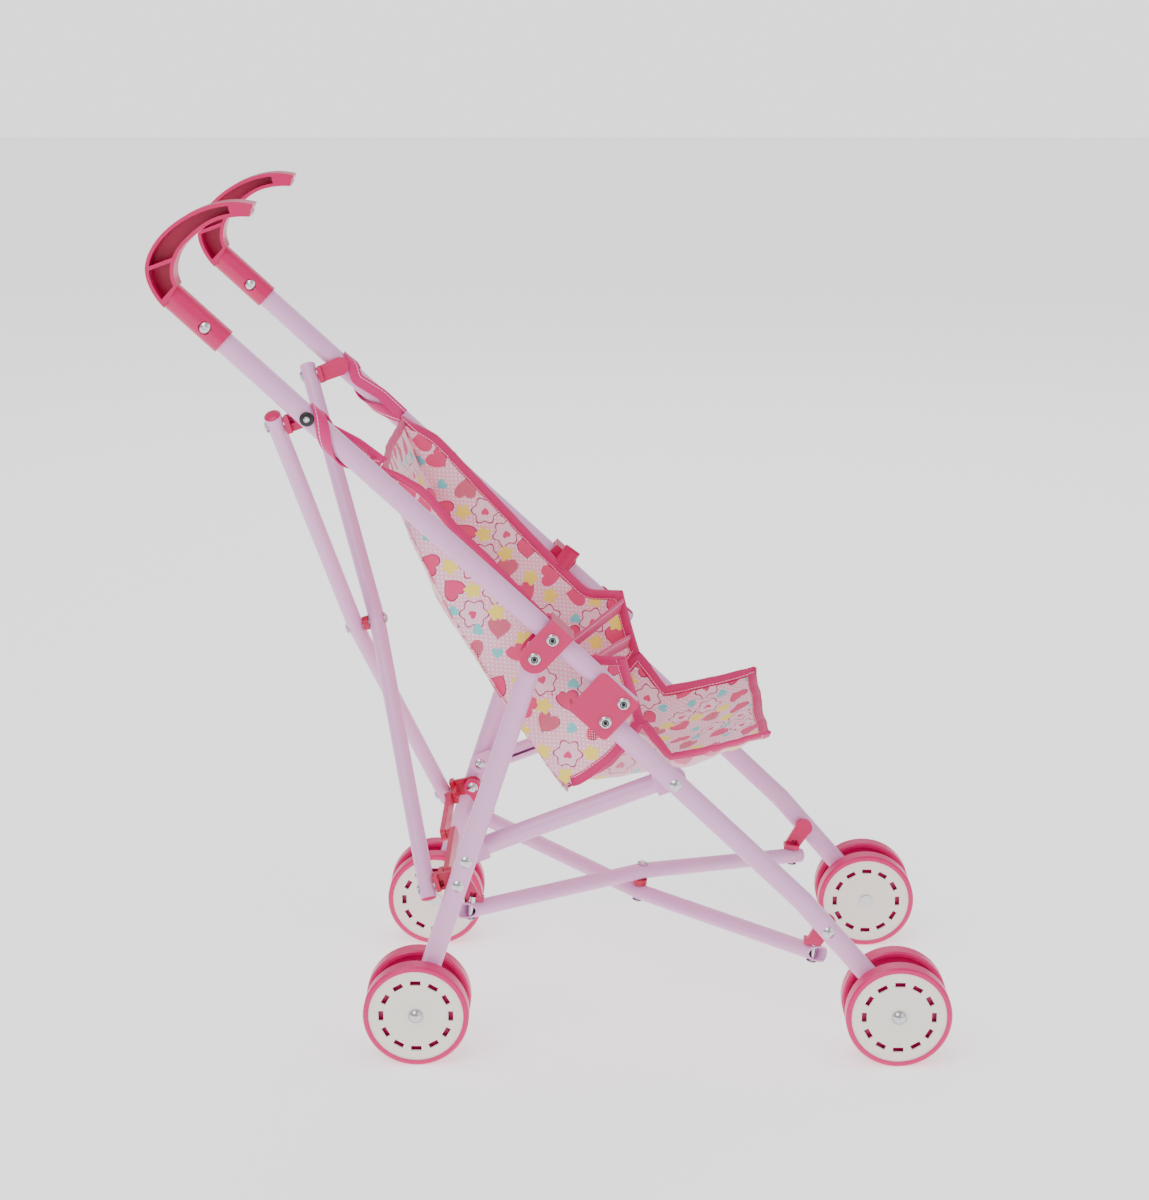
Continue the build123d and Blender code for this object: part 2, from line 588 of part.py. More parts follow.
def handle(side):
    """A hooked handle: a round socket on the push tube, and a grip that is a channel open to the right."""
    y = side * FRAME_HALF_WIDTH
    low = step(HANDLE_PIN, PUSH_UP, -SOCKET_DOWN)
    neck = step(HANDLE_PIN, PUSH_UP, HOOK_OUTER[0][0] + SOCKET_R / 2)
    body = flat(hook_outline(), HANDLE_PIN, PUSH_UP, y - GRIP_WIDTH / 2, y + GRIP_WIDTH / 2)
    body += rod(at(low, y), at(neck, y), SOCKET_R)
    rib = Pos(*RIB_AT) * Rot(0, 0, RIB_TILT) * Rectangle(GRIP_WIDTH * 2, GRIP_WALL)
    tip = Pos(*HOOK_OUTER[-1]) * Circle(GRIP_WIDTH / 2 + POCKET_STOP)
    root = Pos(POCKET_FROM - GRIP_WIDTH, 0) * Rectangle(2 * GRIP_WIDTH, 2 * GRIP_WIDTH)
    pocket = hook_outline(GRIP_WALL) - rib - tip - root
    body -= flat(pocket, HANDLE_PIN, PUSH_UP, y - GRIP_WIDTH, y + GRIP_WIDTH / 2 - GRIP_BACK)
    notch = Pos(*NOTCH_AT) * Circle(NOTCH_R)
    body -= flat(notch, HANDLE_PIN, PUSH_UP, y - GRIP_WIDTH, y + GRIP_WIDTH)
    mouth = step(HANDLE_PIN, PUSH_UP, TUBE_END_UP + SIDE_GAP)
    body -= rod(at(low, y), at(mouth, y), TUBE_R + SEATED)
    body -= cross_rod(HANDLE_PIN, y - GRIP_WIDTH, y + GRIP_WIDTH, RIVET_R + SEATED)
    for way in (-1, 1):
        body -= cross_rod(HANDLE_PIN, y + way * TUBE_R, y + way * GRIP_WIDTH, RIVET_HEAD_R + SIDE_GAP)
    return body


# ---- seat cloth -----------------------------------------------------------------------------------
SEAT_TOP = step(step(ELBOW_PIVOT, PUSH_UP, SEAT_TOP_UP), PUSH_UNDER, -3.0)
WING_TOP = step(step(ELBOW_PIVOT, PUSH_UP, WING_UP), PUSH_UNDER, -3.0)
SEAT_CORNER = (2.5, 166.0)
BACK_LINE = [SEAT_TOP, (-75.5, 291.0), (-39.5, 228.0), SEAT_CORNER]
WING_FRONT = [(38.0, 252.0), (46.0, 214.0), (30.0, 188.0)]
BASE_LINE = [(4.5, 168.5), (30.0, 171.0), (75.0, 178.0), (127.5, 196.0)]
BASE_RIM = [(129.0, 203.0), (66.0, 188.0), (48.0, 212.0), (32.0, 188.0)]
FLAP_LINE = [(129.0, 203.0), (126.0, 189.0)]
INWARD = (0.8, 0.6)
STRAPS = [[(38.0, 246.0), (3.0, 243.5), (-24.0, 236.0)], [(43.0, 221.0), (19.0, 229.0), (-8.0, 226.0)]]


def sheet(line, way, half):
    """A sheet across the stroller that follows a side-plane line, its thickness laid off one way."""
    back = [step(point, way, CLOTH) for point in reversed(line)]
    return profile(outlined([*line, *back]), -half, half)


def side_panels(corners, half):
    """The two equal panels at the sides of a piece of cloth."""
    outline = outlined(corners)
    return profile(outline, half - CLOTH, half) + profile(outline, -half, CLOTH - half)


def tie(side):
    """A ribbon from a top corner of the seat up to a loop round the push tube."""
    low = step(step(ELBOW_PIVOT, PUSH_UP, TIE_UP - TIE_WIDTH / 2), PUSH_UNDER, 0)
    high = step(low, PUSH_UP, TIE_WIDTH)
    y = side * FRAME_HALF_WIDTH
    inner, outer = TUBE_R + SIDE_GAP, TUBE_R + SIDE_GAP + CLOTH
    loop = Part() + rod(at(low, y), at(high, y), outer) - rod(at(low, y), at(high, y), inner)
    start = step(SEAT_TOP, PUSH_UP, -TIE_WIDTH)
    near = y - side * outer
    face = (near, near + side * CLOTH)
    ribbon = outlined([start, high, low, step(start, PUSH_UNDER, TIE_WIDTH)])
    return loop + profile(ribbon, min(face), max(face))


def seat_back():
    """The seat's back panel with its two side wings, and the ties that hold its top corners."""
    outline = [*BACK_LINE, *reversed(WING_FRONT), WING_TOP]
    cloth = sheet(BACK_LINE, INWARD, SEAT_HALF) + side_panels(outline, SEAT_HALF)
    return cloth + [tie(-1), tie(1)]


def seat_base():
    """The seat's bottom panel, with turned-up sides and a front flap."""
    half = SEAT_HALF - CLOTH - SEAT_EASE
    cloth = sheet(BASE_LINE, (0, 1), half) + side_panels([*BASE_LINE, *BASE_RIM], half)
    return cloth + sheet(FLAP_LINE, (-1, 0), half)


def lap_straps():
    """Two straps from the left wing's front edge back across the seat."""
    straps = Part()
    half = SEAT_HALF - CLOTH - SEAT_EASE
    for line in STRAPS:
        points = [at(line[0], half), at(line[1], 0), at(line[2], -half)]
        for start, end in zip(points, points[1:]):
            run = end - start
            frame = Plane(origin=(start + end) * 0.5, x_dir=run, z_dir=run.cross(Vector(0, 0, 1)))
            straps += frame * Box(run.length, STRAP_WIDTH, CLOTH)
    return straps


def belt_clip():
    """The small clip sewn on the left wing's edge."""
    place = step(step(ELBOW_PIVOT, PUSH_UP, CLIP_UP), PUSH_UNDER, -CLIP_RISE)
    y = SEAT_HALF + SIDE_GAP
    outline = RectangleRounded(CLIP_LENGTH, CLIP_HEIGHT, CLIP_HEIGHT / 4)
    return flat(outline, place, PUSH_UP, y, y + CLIP_THICK)


# ---- the whole stroller ---------------------------------------------------------------------------
def push_rivets():
    """The rivets carried by the push tube."""
    rivets = rivet(UPPER_RIVET, PLATE_OUT, PLATE_IN) + rivet(LEG_PIVOT, PLATE_OUT, PLATE_IN)
    return rivets + rivet(HANDLE_PIN, OUTER_FACE, INNER_FACE) + flush_rivet(TOP_PIN, OUTER_FACE)


def front_leg_steel():
    """The front leg's rivets and axle."""
    steel = flush_rivet(ELBOW_PIVOT, PLATE_OUT) + flush_rivet(ELBOW_RIVET, PLATE_OUT)
    for point in (LINK_FRONT_PIN, FRONT_PIN):
        steel += flush_rivet(point, OUTER_FACE, False)
    return steel + axle(FRONT_AXLE)


def rear_leg_steel():
    """The rear leg's rivets and axle."""
    steel = rivet(LINK_REAR_PIN, OUTER_FACE, BRACKET_IN + EAR, False)
    steel += rivet(BRACKET_PIN, OUTER_FACE, BRACKET_IN + LAYER + SEAT_SLIDE + EAR, False)
    return steel + axle(REAR_AXLE)


nodes = {}
right_side = {
    "push_tube": push_tube(),
    "upper_bracket": upper_bracket(),
    "push_rivets": push_rivets(),
    "elbow_bracket": elbow_bracket(),
    "front_leg": front_leg(),
    "front_leg_rivets_and_axle": front_leg_steel(),
    "rear_leg": rear_leg(),
    "rear_leg_rivets_and_axle": rear_leg_steel(),
    "side_link": side_link(),
    "rear_bar_top_bracket": bar_bracket(TOP_PIN, REAR_X, REAR_X.length, 0, -1, False),
    "rear_bar_low_bracket": bar_bracket(BRACKET_PIN, REAR_X, 0, 0, 1, True) + lock_tongue(),
    "seat_bar_rear_bracket": bar_bracket(BRACKET_PIN, SEAT_X, 0, LAYER + SEAT_SLIDE, 1, True),
    "seat_bar_front_link": bar_bracket(FRONT_PIN, SEAT_X, SEAT_X.length, SEAT_SLIDE, -1, False),
}
for name, shape in right_side.items():
    nodes[f"right_{name}"] = shape
    nodes[f"left_{name}"] = mirror(shape, about=Plane.XZ)

for word, side in (("right", -1), ("left", 1)):
    nodes[f"{word}_handle"] = handle(side)
    nodes[f"{word}_lock_arm"] = lock_arm(side)
    nodes[f"{word}_rear_bar_low_bracket"] += lock_stub(side)
    for end, centre in (("front", FRONT_AXLE), ("rear", REAR_AXLE)):
        for place, outward in (("outer", side), ("inner", -side)):
            nodes[f"{word}_{end}_{place}_tyre"] = on_leg(tyre(), centre, side, outward)
            nodes[f"{word}_{end}_{place}_disc"] = on_leg(disc(), centre, side, outward)

# the front bar of the rear X starts low on the right; the upper bar of the seat X starts on the right
for name, plane, start_side, end_cut in (
    ("rear_bar_front", REAR_X, -1, 0),
    ("rear_bar_back", REAR_X, 1, 0),
    ("seat_bar_upper", SEAT_X, -1, SEAT_BAR_END),
    ("seat_bar_lower", SEAT_X, 1, SEAT_BAR_END),
):
    nodes[name] = cross_bar(plane, start_side, start_side, end_cut)
    nodes[f"{name}_rivets"] = bar_studs(plane, start_side, start_side < 0)
nodes["rear_cross_spacer"] = spacer(REAR_X)
nodes["seat_cross_spacer"] = spacer(SEAT_X)

nodes["seat_back"] = seat_back()
nodes["seat_base"] = seat_base()
nodes["lap_straps"] = lap_straps()
nodes["belt_clip"] = belt_clip()

os.makedirs("parts", exist_ok=True)
for name, shape in nodes.items():
    export_step(shape, f"parts/{name}.step")
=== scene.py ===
"""Looks of a folding doll stroller: paint, plastic, printed cloth seat, ribbons and small fittings."""

import json
import logging
import math
from collections.abc import Sequence
from dataclasses import dataclass, field
from enum import Enum

import bpy
import numpy as np
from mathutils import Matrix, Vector, noise

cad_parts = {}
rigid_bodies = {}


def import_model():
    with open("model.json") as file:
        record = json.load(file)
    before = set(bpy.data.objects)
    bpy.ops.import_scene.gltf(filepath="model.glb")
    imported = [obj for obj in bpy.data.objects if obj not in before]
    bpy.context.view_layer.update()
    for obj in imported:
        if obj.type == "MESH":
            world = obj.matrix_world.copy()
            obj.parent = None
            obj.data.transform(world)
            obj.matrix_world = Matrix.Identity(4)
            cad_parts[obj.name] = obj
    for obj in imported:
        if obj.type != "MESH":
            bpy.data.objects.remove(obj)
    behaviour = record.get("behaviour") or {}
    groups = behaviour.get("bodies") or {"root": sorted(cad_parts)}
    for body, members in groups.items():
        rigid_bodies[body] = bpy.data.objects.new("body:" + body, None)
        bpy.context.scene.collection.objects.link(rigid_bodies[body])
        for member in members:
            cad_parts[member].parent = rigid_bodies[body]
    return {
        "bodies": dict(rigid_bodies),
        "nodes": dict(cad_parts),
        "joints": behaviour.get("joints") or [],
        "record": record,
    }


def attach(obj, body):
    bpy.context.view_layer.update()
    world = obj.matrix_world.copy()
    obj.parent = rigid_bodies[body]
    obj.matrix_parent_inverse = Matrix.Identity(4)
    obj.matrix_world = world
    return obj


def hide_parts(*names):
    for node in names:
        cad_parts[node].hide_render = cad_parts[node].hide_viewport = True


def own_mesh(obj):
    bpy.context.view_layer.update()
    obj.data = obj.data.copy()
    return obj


MM = 0.001
TUBE_PLANE = 0.097  # centre plane of a side frame, out from the middle
ROOM = logging.getLogger("stroller")

Plot = tuple[float, float]


class Side(Enum):
    """The two sides of the stroller, by the sign of y."""

    RIGHT = -1
    LEFT = 1

    @property
    def word(self) -> str:
        """The word used in piece and body names."""
        return self.name.lower()


class Edge(Enum):
    """The four edges of a cloth grid."""

    FIRST_ROW = 0
    LAST_ROW = 1
    FIRST_COLUMN = 2
    LAST_COLUMN = 3


def srgb(red: float, green: float, blue: float) -> tuple[float, float, float, float]:
    """A screen colour of 0 to 255 as linear light.

    Args:
        red: Red share.
        green: Green share.
        blue: Blue share.

    Returns:
        The colour with full alpha.
    """
    shares = (c / 255 for c in (red, green, blue))
    linear = [c / 12.92 if c <= 0.04045 else ((c + 0.055) / 1.055) ** 2.4 for c in shares]
    return (linear[0], linear[1], linear[2], 1.0)


# ---- finishes ---------------------------------------------------------------------------------------
class Graph:
    """Short calls that wire up one material's shader nodes."""

    def __init__(self, material: bpy.types.Material) -> None:
        """Takes over the material's nodes.

        Args:
            material: The material to wire.
        """
        material.use_nodes = True
        self.nodes = material.node_tree.nodes
        self.links = material.node_tree.links
        self.shader = next(n for n in self.nodes if n.type == "BSDF_PRINCIPLED")

    def feed(self, socket: bpy.types.NodeSocket, value: object) -> None:
        """Links a socket, or sets its plain value.

        Args:
            socket: The input.
            value: Another node's output, or a number or colour.
        """
        if isinstance(value, bpy.types.NodeSocket):
            self.links.new(value, socket)
        else:
            socket.default_value = value

    def add(self, kind: str, *values: object, **settings: object) -> bpy.types.Node:
        """Makes a node.

        Args:
            kind: The node's type name.
            *values: What its first inputs take, None to leave one alone.
            **settings: The node's own settings.

        Returns:
            The node.
        """
        node = self.nodes.new(kind)
        for name, value in settings.items():
            setattr(node, name, value)
        for socket, value in zip(node.inputs, values):
            if value is not None:
                self.feed(socket, value)
        return node

    def math(self, operation: str, *values: object) -> bpy.types.NodeSocket:
        """The result of a Math node.

        Args:
            operation: The operation's name.
            *values: Its inputs.

        Returns:
            The number that comes out.
        """
        return self.add("ShaderNodeMath", *values, operation=operation).outputs[0]

    def vector(self, operation: str, *values: object) -> bpy.types.NodeSocket:
        """The result of a Vector Math node that gives a vector.

        Args:
            operation: The operation's name.
            *values: Its inputs.

        Returns:
            The vector that comes out.
        """
        return self.add("ShaderNodeVectorMath", *values, operation=operation).outputs[0]

    def split(self, vector: bpy.types.NodeSocket) -> tuple:
        """The x and y of a vector."""
        node = self.add("ShaderNodeSeparateXYZ", vector)
        return node.outputs[0], node.outputs[1]

    def both(self, first: object, second: object) -> bpy.types.NodeSocket:
        """A mask where both masks hold."""
        return self.math("MULTIPLY", first, second)

    def less(self, value: object, limit: float) -> bpy.types.NodeSocket:
        """A mask of where a number is under a limit."""
        return self.math("LESS_THAN", value, limit)

    def paint(self, mask: object, under: object, over: object) -> bpy.types.NodeSocket:
        """Lays one colour over another.

        Args:
            mask: Where the upper colour shows.
            under: The lower colour.
            over: The upper colour.

        Returns:
            The colour that comes out.
        """
        node = self.add("ShaderNodeMix", data_type="RGBA", clamp_factor=True)
        sockets = [s for s in node.inputs if s.enabled]
        for socket, value in zip(sockets, (mask, under, over)):
            self.feed(socket, value)
        return next(s for s in node.outputs if s.enabled)

    def bump(self, height: object, strength: float, distance: float) -> None:
        """Raises the shader's surface by a height.

        Args:
            height: The height, 0 to 1.
            strength: How strongly it shows.
            distance: What a height of 1 stands for, in metres.
        """
        node = self.add("ShaderNodeBump")
        self.feed(node.inputs["Strength"], strength)
        self.feed(node.inputs["Distance"], distance)
        self.feed(node.inputs["Height"], height)
        self.feed(self.shader.inputs["Normal"], node.outputs[0])


@dataclass(frozen=True)
class Finish:
    """A plain finish: one colour all over, with its gloss."""

    name: str
    colour: tuple[int, int, int]
    roughness: float
    metallic: float = 0.0
    coat: float = 0.0
    sheen: float = 0.0
    lit: float = 0.0
    grain: float = 0.0
    grain_scale: float = 900.0

    def material(self) -> bpy.types.Material:
        """The finish's material, made once and shared.

        Returns:
            The material.
        """
        made = bpy.data.materials.get(self.name)
        if made is None:
            made = bpy.data.materials.new(self.name)
            graph = Graph(made)
            self.set_plain(graph)
            self.pattern(graph)
        return made

    def set_plain(self, graph: Graph) -> None:
        """Sets the values that are the same all over.

        Args:
            graph: The material's nodes.
        """
        values = {
            "Base Color": srgb(*self.colour),
            "Roughness": self.roughness,
            "Metallic": self.metallic,
            "Coat Weight": self.coat,
            "Coat Roughness": 0.06,
            "Sheen Weight": self.sheen,
            "Emission Color": (1.0, 1.0, 1.0, 1.0),
            "Emission Strength": self.lit,
        }
        for name, value in values.items():
            graph.shader.inputs[name].default_value = value

    def pattern(self, graph: Graph) -> None:
        """Adds a fine moulded or sprayed grain, where the finish has one.

        Args:
            graph: The material's nodes.
        """
        if self.grain:
            place = graph.add("ShaderNodeTexCoord").outputs["Object"]
            speckle = graph.add("ShaderNodeTexNoise")
            graph.feed(speckle.inputs["Vector"], place)
            graph.feed(speckle.inputs["Scale"], self.grain_scale)
            graph.bump(speckle.outputs[0], self.grain, 0.0002)


@dataclass(frozen=True)
class Print:
    """The colours of the printed cloth."""

    ground: tuple[int, int, int] = (252, 186, 208)
    dot: tuple[int, int, int] = (255, 244, 248)
    heart: tuple[int, int, int] = (232, 66, 122)
    deep_heart: tuple[int, int, int] = (208, 20, 84)
    outline: tuple[int, int, int] = (176, 30, 92)
    aqua: tuple[int, int, int] = (120, 214, 216)
    star: tuple[int, int, int] = (252, 232, 96)
    petal: tuple[int, int, int] = (252, 208, 224)


@dataclass(frozen=True)
class PrintedCloth(Finish):
    """Woven cloth printed with small dots, hearts, stars and outlined flowers."""

    inks: Print = Print()
    pitch: float = 21.0
    fade: float = 0.0

    def pattern(self, graph: Graph) -> None:
        """Wires the print and the weave.

        Args:
            graph: The material's nodes.
        """
        uv = graph.add("ShaderNodeUVMap", uv_map="cloth").outputs[0]
        place = graph.vector("MULTIPLY", uv, (1000.0, 1000.0, 0.0))
        inks = self.inks
        cloth = graph.paint(self.dots(graph, place), srgb(*inks.ground), srgb(*inks.dot))
        spot, luck = self.cell(graph, place, (0.0, 0.0, 0.0))
        flower = graph.math("GREATER_THAN", luck, 0.68)
        heart_here = graph.less(luck, 0.68)
        dotted = graph.less(luck, 0.2)
        heart = self.heart(graph, spot, 7.2)
        inside = graph.both(graph.less(heart, 1.0), heart_here)
        rim = graph.both(inside, graph.math("GREATER_THAN", heart, 0.8))
        cloth = graph.paint(inside, cloth, srgb(*inks.heart))
        fine = self.dots(graph, place, 1.9)
        cloth = graph.paint(graph.both(inside, dotted), cloth, srgb(*inks.deep_heart))
        cloth = graph.paint(graph.both(graph.both(inside, dotted), fine), cloth, srgb(*inks.petal))
        outlined = graph.both(rim, graph.math("GREATER_THAN", luck, 0.4))
        cloth = graph.paint(outlined, cloth, srgb(*inks.outline))
        bloom = self.rosette(graph, spot, 8.4, 6.0, 0.14)
        petals = graph.both(graph.less(bloom, 1.0), flower)
        cloth = graph.paint(petals, cloth, srgb(*inks.petal))
        line = graph.both(petals, graph.math("GREATER_THAN", bloom, 0.9))
        heart_mark = graph.both(flower, graph.less(self.heart(graph, spot, 2.6), 1.0))
        cloth = graph.paint(line, cloth, srgb(*inks.outline))
        cloth = graph.paint(heart_mark, cloth, srgb(*inks.heart))
        spot, luck = self.cell(graph, place, (0.5, 0.5, 4.0))
        small = graph.both(graph.less(self.heart(graph, spot, 3.6), 1.0), graph.less(luck, 0.5))
        cloth = graph.paint(small, cloth, srgb(*inks.aqua))
        star = graph.less(self.rosette(graph, spot, 4.6, 5.0, 0.22), 1.0)
        star = graph.both(star, graph.math("GREATER_THAN", luck, 0.5))
        cloth = graph.paint(star, cloth, srgb(*inks.star))
        if self.fade:
            cloth = graph.paint(self.fade, cloth, srgb(*self.colour))
        graph.feed(graph.shader.inputs["Base Color"], cloth)
        weave = graph.add("ShaderNodeTexChecker")
        graph.feed(weave.inputs["Vector"], place)
        graph.feed(weave.inputs["Scale"], 2.2)
        graph.bump(weave.outputs["Fac"], 0.12, 0.0001)

    def dots(self, graph: Graph, place: object, pitch: float = 3.4) -> bpy.types.NodeSocket:
        """A mask of small round dots in staggered rows.

        Args:
            graph: The material's nodes.
            place: Where on the cloth, in millimetres.
            pitch: Distance between dots in a row.

        Returns:
            The mask.
        """
        x, y = graph.split(place)
        row = graph.math("DIVIDE", y, pitch * 0.6)
        shift = graph.math("MULTIPLY", graph.math("PINGPONG", graph.math("FLOOR", row), 1.0), 0.5)
        across = graph.math("ADD", graph.math("DIVIDE", x, pitch), shift)
        u = graph.math("SUBTRACT", graph.math("FRACT", across), 0.5)
        v = graph.math("MULTIPLY", graph.math("SUBTRACT", graph.math("FRACT", row), 0.5), 0.6)
        far = graph.math("ADD", graph.math("MULTIPLY", u, u), graph.math("MULTIPLY", v, v))
        return graph.less(far, 0.036)

    def cell(self, graph: Graph, place: object, shift: tuple) -> tuple:
        """Splits the cloth into squares with one figure each, moved and turned at random.

        Args:
            graph: The material's nodes.
            place: Where on the cloth, in millimetres.
            shift: How far the squares are moved, in squares, and a number that picks the luck.

        Returns:
            The place in the figure's own millimetres, and the square's luck.
        """
        squares = graph.vector("ADD", graph.vector("SCALE", place), shift)
        scale = squares.node.inputs[0].links[0].from_node
        scale.inputs["Scale"].default_value = 1 / self.pitch
        home = graph.vector("FLOOR", squares)
        chance = graph.add("ShaderNodeTexWhiteNoise", home, noise_dimensions="3D")
        local = graph.vector("SUBTRACT", graph.vector("FRACTION", squares), (0.5, 0.5, 0.0))
        nudge = graph.vector("SUBTRACT", chance.outputs["Color"], (0.5, 0.5, 0.5))
        nudge = graph.vector("MULTIPLY", nudge, (0.22, 0.22, 0.0))
        local = graph.vector("MULTIPLY", graph.vector("ADD", local, nudge), (self.pitch, self.pitch, 0.0))
        turn = graph.math("MULTIPLY", graph.split(chance.outputs["Color"])[1], 6.2832)
        spin = graph.add("ShaderNodeVectorRotate", local, rotation_type="Z_AXIS")
        graph.feed(spin.inputs["Angle"], turn)
        return spin.outputs[0], chance.outputs["Value"]

    def heart(self, graph: Graph, spot: object, size: float) -> bpy.types.NodeSocket:
        """How far out a place is in a heart, 1 on its outline.

        Args:
            graph: The material's nodes.
            spot: The place, in millimetres.
            size: Half the heart's width.

        Returns:
            The share.
        """
        x, y = graph.split(spot)
        x = graph.math("ABSOLUTE", graph.math("DIVIDE", x, size))
        y = graph.math("MULTIPLY", y, 1.2 / size)
        lobe = graph.math("SUBTRACT", y, graph.math("MULTIPLY", graph.math("SQRT", x), 0.75))
        return graph.math("ADD", graph.math("MULTIPLY", x, x), graph.math("MULTIPLY", lobe, lobe))

    def rosette(self, graph: Graph, spot: object, size: float, lobes: float, depth: float) -> object:
        """How far out a place is in a star or flower, 1 on its outline.

        Args:
            graph: The material's nodes.
            spot: The place, in millimetres.
            size: Mean radius.
            lobes: Number of points or petals.
            depth: How deep the notches are, as a share.

        Returns:
            The share.
        """
        x, y = graph.split(spot)
        angle = graph.math("MULTIPLY", graph.math("ARCTAN2", y, x), lobes)
        edge = graph.math("MULTIPLY_ADD", graph.math("COSINE", angle), depth * size, size)
        length = graph.add("ShaderNodeVectorMath", spot, operation="LENGTH").outputs["Value"]
        return graph.math("DIVIDE", length, edge)


@dataclass(frozen=True)
class SatinRibbon(Finish):
    """Narrow satin with a pale line of stitches near one edge."""

    thread: tuple[int, int, int] = (255, 176, 204)
    stitch_at: float = 2.3

    def pattern(self, graph: Graph) -> None:
        """Wires the stitches and the cross ribs of the satin.

        Args:
            graph: The material's nodes.
        """
        uv = graph.add("ShaderNodeUVMap", uv_map="cloth").outputs[0]
        along, across = graph.split(graph.vector("MULTIPLY", uv, (1000.0, 1000.0, 0.0)))
        off = graph.math("ABSOLUTE", graph.math("SUBTRACT", across, self.stitch_at))
        dash = graph.less(graph.math("FRACT", graph.math("DIVIDE", along, 2.4)), 0.78)
        stitch = graph.both(graph.less(off, 0.28), dash)
        colour = graph.paint(stitch, srgb(*self.colour), srgb(*self.thread))
        graph.feed(graph.shader.inputs["Base Color"], colour)
        rib = graph.math("SINE", graph.math("MULTIPLY", along, 9.0))
        graph.bump(rib, 0.15, 0.0001)


PAINT = Finish("lilac_pink_paint", (230, 168, 216), 0.34, coat=0.2)
PINK = Finish("pink_gloss_plastic", (204, 0, 92), 0.32, grain=0.02)
RED = Finish("red_gloss_plastic", (196, 0, 66), 0.32, grain=0.02)
RIM = Finish("wheel_pink_plastic", (214, 0, 104), 0.36, grain=0.03)
WHITE = Finish("wheel_white_plastic", (246, 240, 230), 0.42, grain=0.03)
CHROME = Finish("bright_plating", (205, 206, 210), 0.16, metallic=1.0)
# Painted shade: a dark grey that stands for the shade inside the hollow rivet heads.
HOLLOW_SHADE = Finish("dark_hollow", (38, 42, 44), 0.35, metallic=0.6)
BLACK = Finish("black_cap", (24, 22, 26), 0.35)
CLOTH = PrintedCloth("printed_cloth", (250, 226, 232), 0.82, sheen=0.15)
CLOTH_BACK = PrintedCloth("printed_cloth_wrong_side", (249, 214, 214), 0.86, sheen=0.15, fade=0.3)
RIBBON = SatinRibbon("pink_satin", (212, 6, 112), 0.55, sheen=0.1)
BINDING = SatinRibbon("pink_satin_binding", (208, 4, 104), 0.56, sheen=0.1, stitch_at=2.5)
FLOOR = Finish("pale_floor", (250, 250, 251), 0.8, lit=0.9)

SLOT_FINISH = {
    "tube_paint": PAINT,
    "pink_plastic": PINK,
    "red_plastic": RED,
    "wheel_pink": RIM,
    "disc_white": WHITE,
    "rivet_steel": CHROME,
    "seat_cloth": CLOTH,
    "strap_pink": RIBBON,
}


# ---- meshes -----------------------------------------------------------------------------------------
def unit(rows: np.ndarray) -> np.ndarray:
    """Scales each row vector to length one."""
    return rows / np.maximum(np.linalg.norm(rows, axis=-1, keepdims=True), 1e-9)


def even(points: Sequence, count: int, soften: int = 0) -> np.ndarray:
    """Spreads points evenly along a line, with its corners softened.

    Args:
        points: The line's corners.
        count: How many points to give.
        soften: How many passes of rounding the corners get.

    Returns:
        The points.
    """
    line = np.array(points, float)
    for _ in range(soften + 1):
        gone = np.concatenate([[0.0], np.cumsum(np.linalg.norm(np.diff(line, axis=0), axis=1))])
        marks = np.linspace(0, gone[-1], count)
        line = np.stack([np.interp(marks, gone, line[:, i]) for i in range(line.shape[1])], axis=1)
        if soften:
            line[1:-1] = (line[:-2] + 2 * line[1:-1] + line[2:]) / 4
    return line


def make_object(name: str, points: np.ndarray, faces: list, finish: Finish | list) -> bpy.types.Object:
    """Makes a smooth mesh object.

    Args:
        name: The piece's name.
        points: The corners, in metres.
        faces: The faces, as corner numbers.
        finish: Its finish, or several.

    Returns:
        The object, in the scene.
    """
    mesh = bpy.data.meshes.new(name)
    mesh.from_pydata([tuple(p) for p in points], [], faces)
    mesh.validate()
    for polygon in mesh.polygons:
        polygon.use_smooth = True
    for item in finish if isinstance(finish, list) else [finish]:
        mesh.materials.append(item.material())
    made = bpy.data.objects.new(name, mesh)
    bpy.context.scene.collection.objects.link(made)
    return made


def lay_out(made: bpy.types.Object, flat: np.ndarray) -> None:
    """Gives a piece the flat place of each corner on its cloth.

    Args:
        made: The piece.
        flat: For each corner, its place on the flat cloth, in metres.
    """
    layer = made.data.uv_layers.new(name="cloth")
    for loop in made.data.loops:
        layer.data[loop.index].uv = flat[loop.vertex_index]


def ring_faces(rings: int, per_ring: int, closed: bool) -> list:
    """The faces of a skin over rings of corners.

    Args:
        rings: How many rings.
        per_ring: Corners in a ring.
        closed: Whether the last ring joins the first.

    Returns:
        The faces, with end caps if it isn't closed.
    """
    faces = []
    for i in range(rings if closed else rings - 1):
        a, b = i * per_ring, (i + 1) % rings * per_ring
        for j in range(per_ring):
            k = (j + 1) % per_ring
            faces.append((a + j, a + k, b + k, b + j))
    if not closed:
        faces.append(tuple(range(per_ring)))
        faces.append(tuple(reversed(range((rings - 1) * per_ring, rings * per_ring))))
    return faces


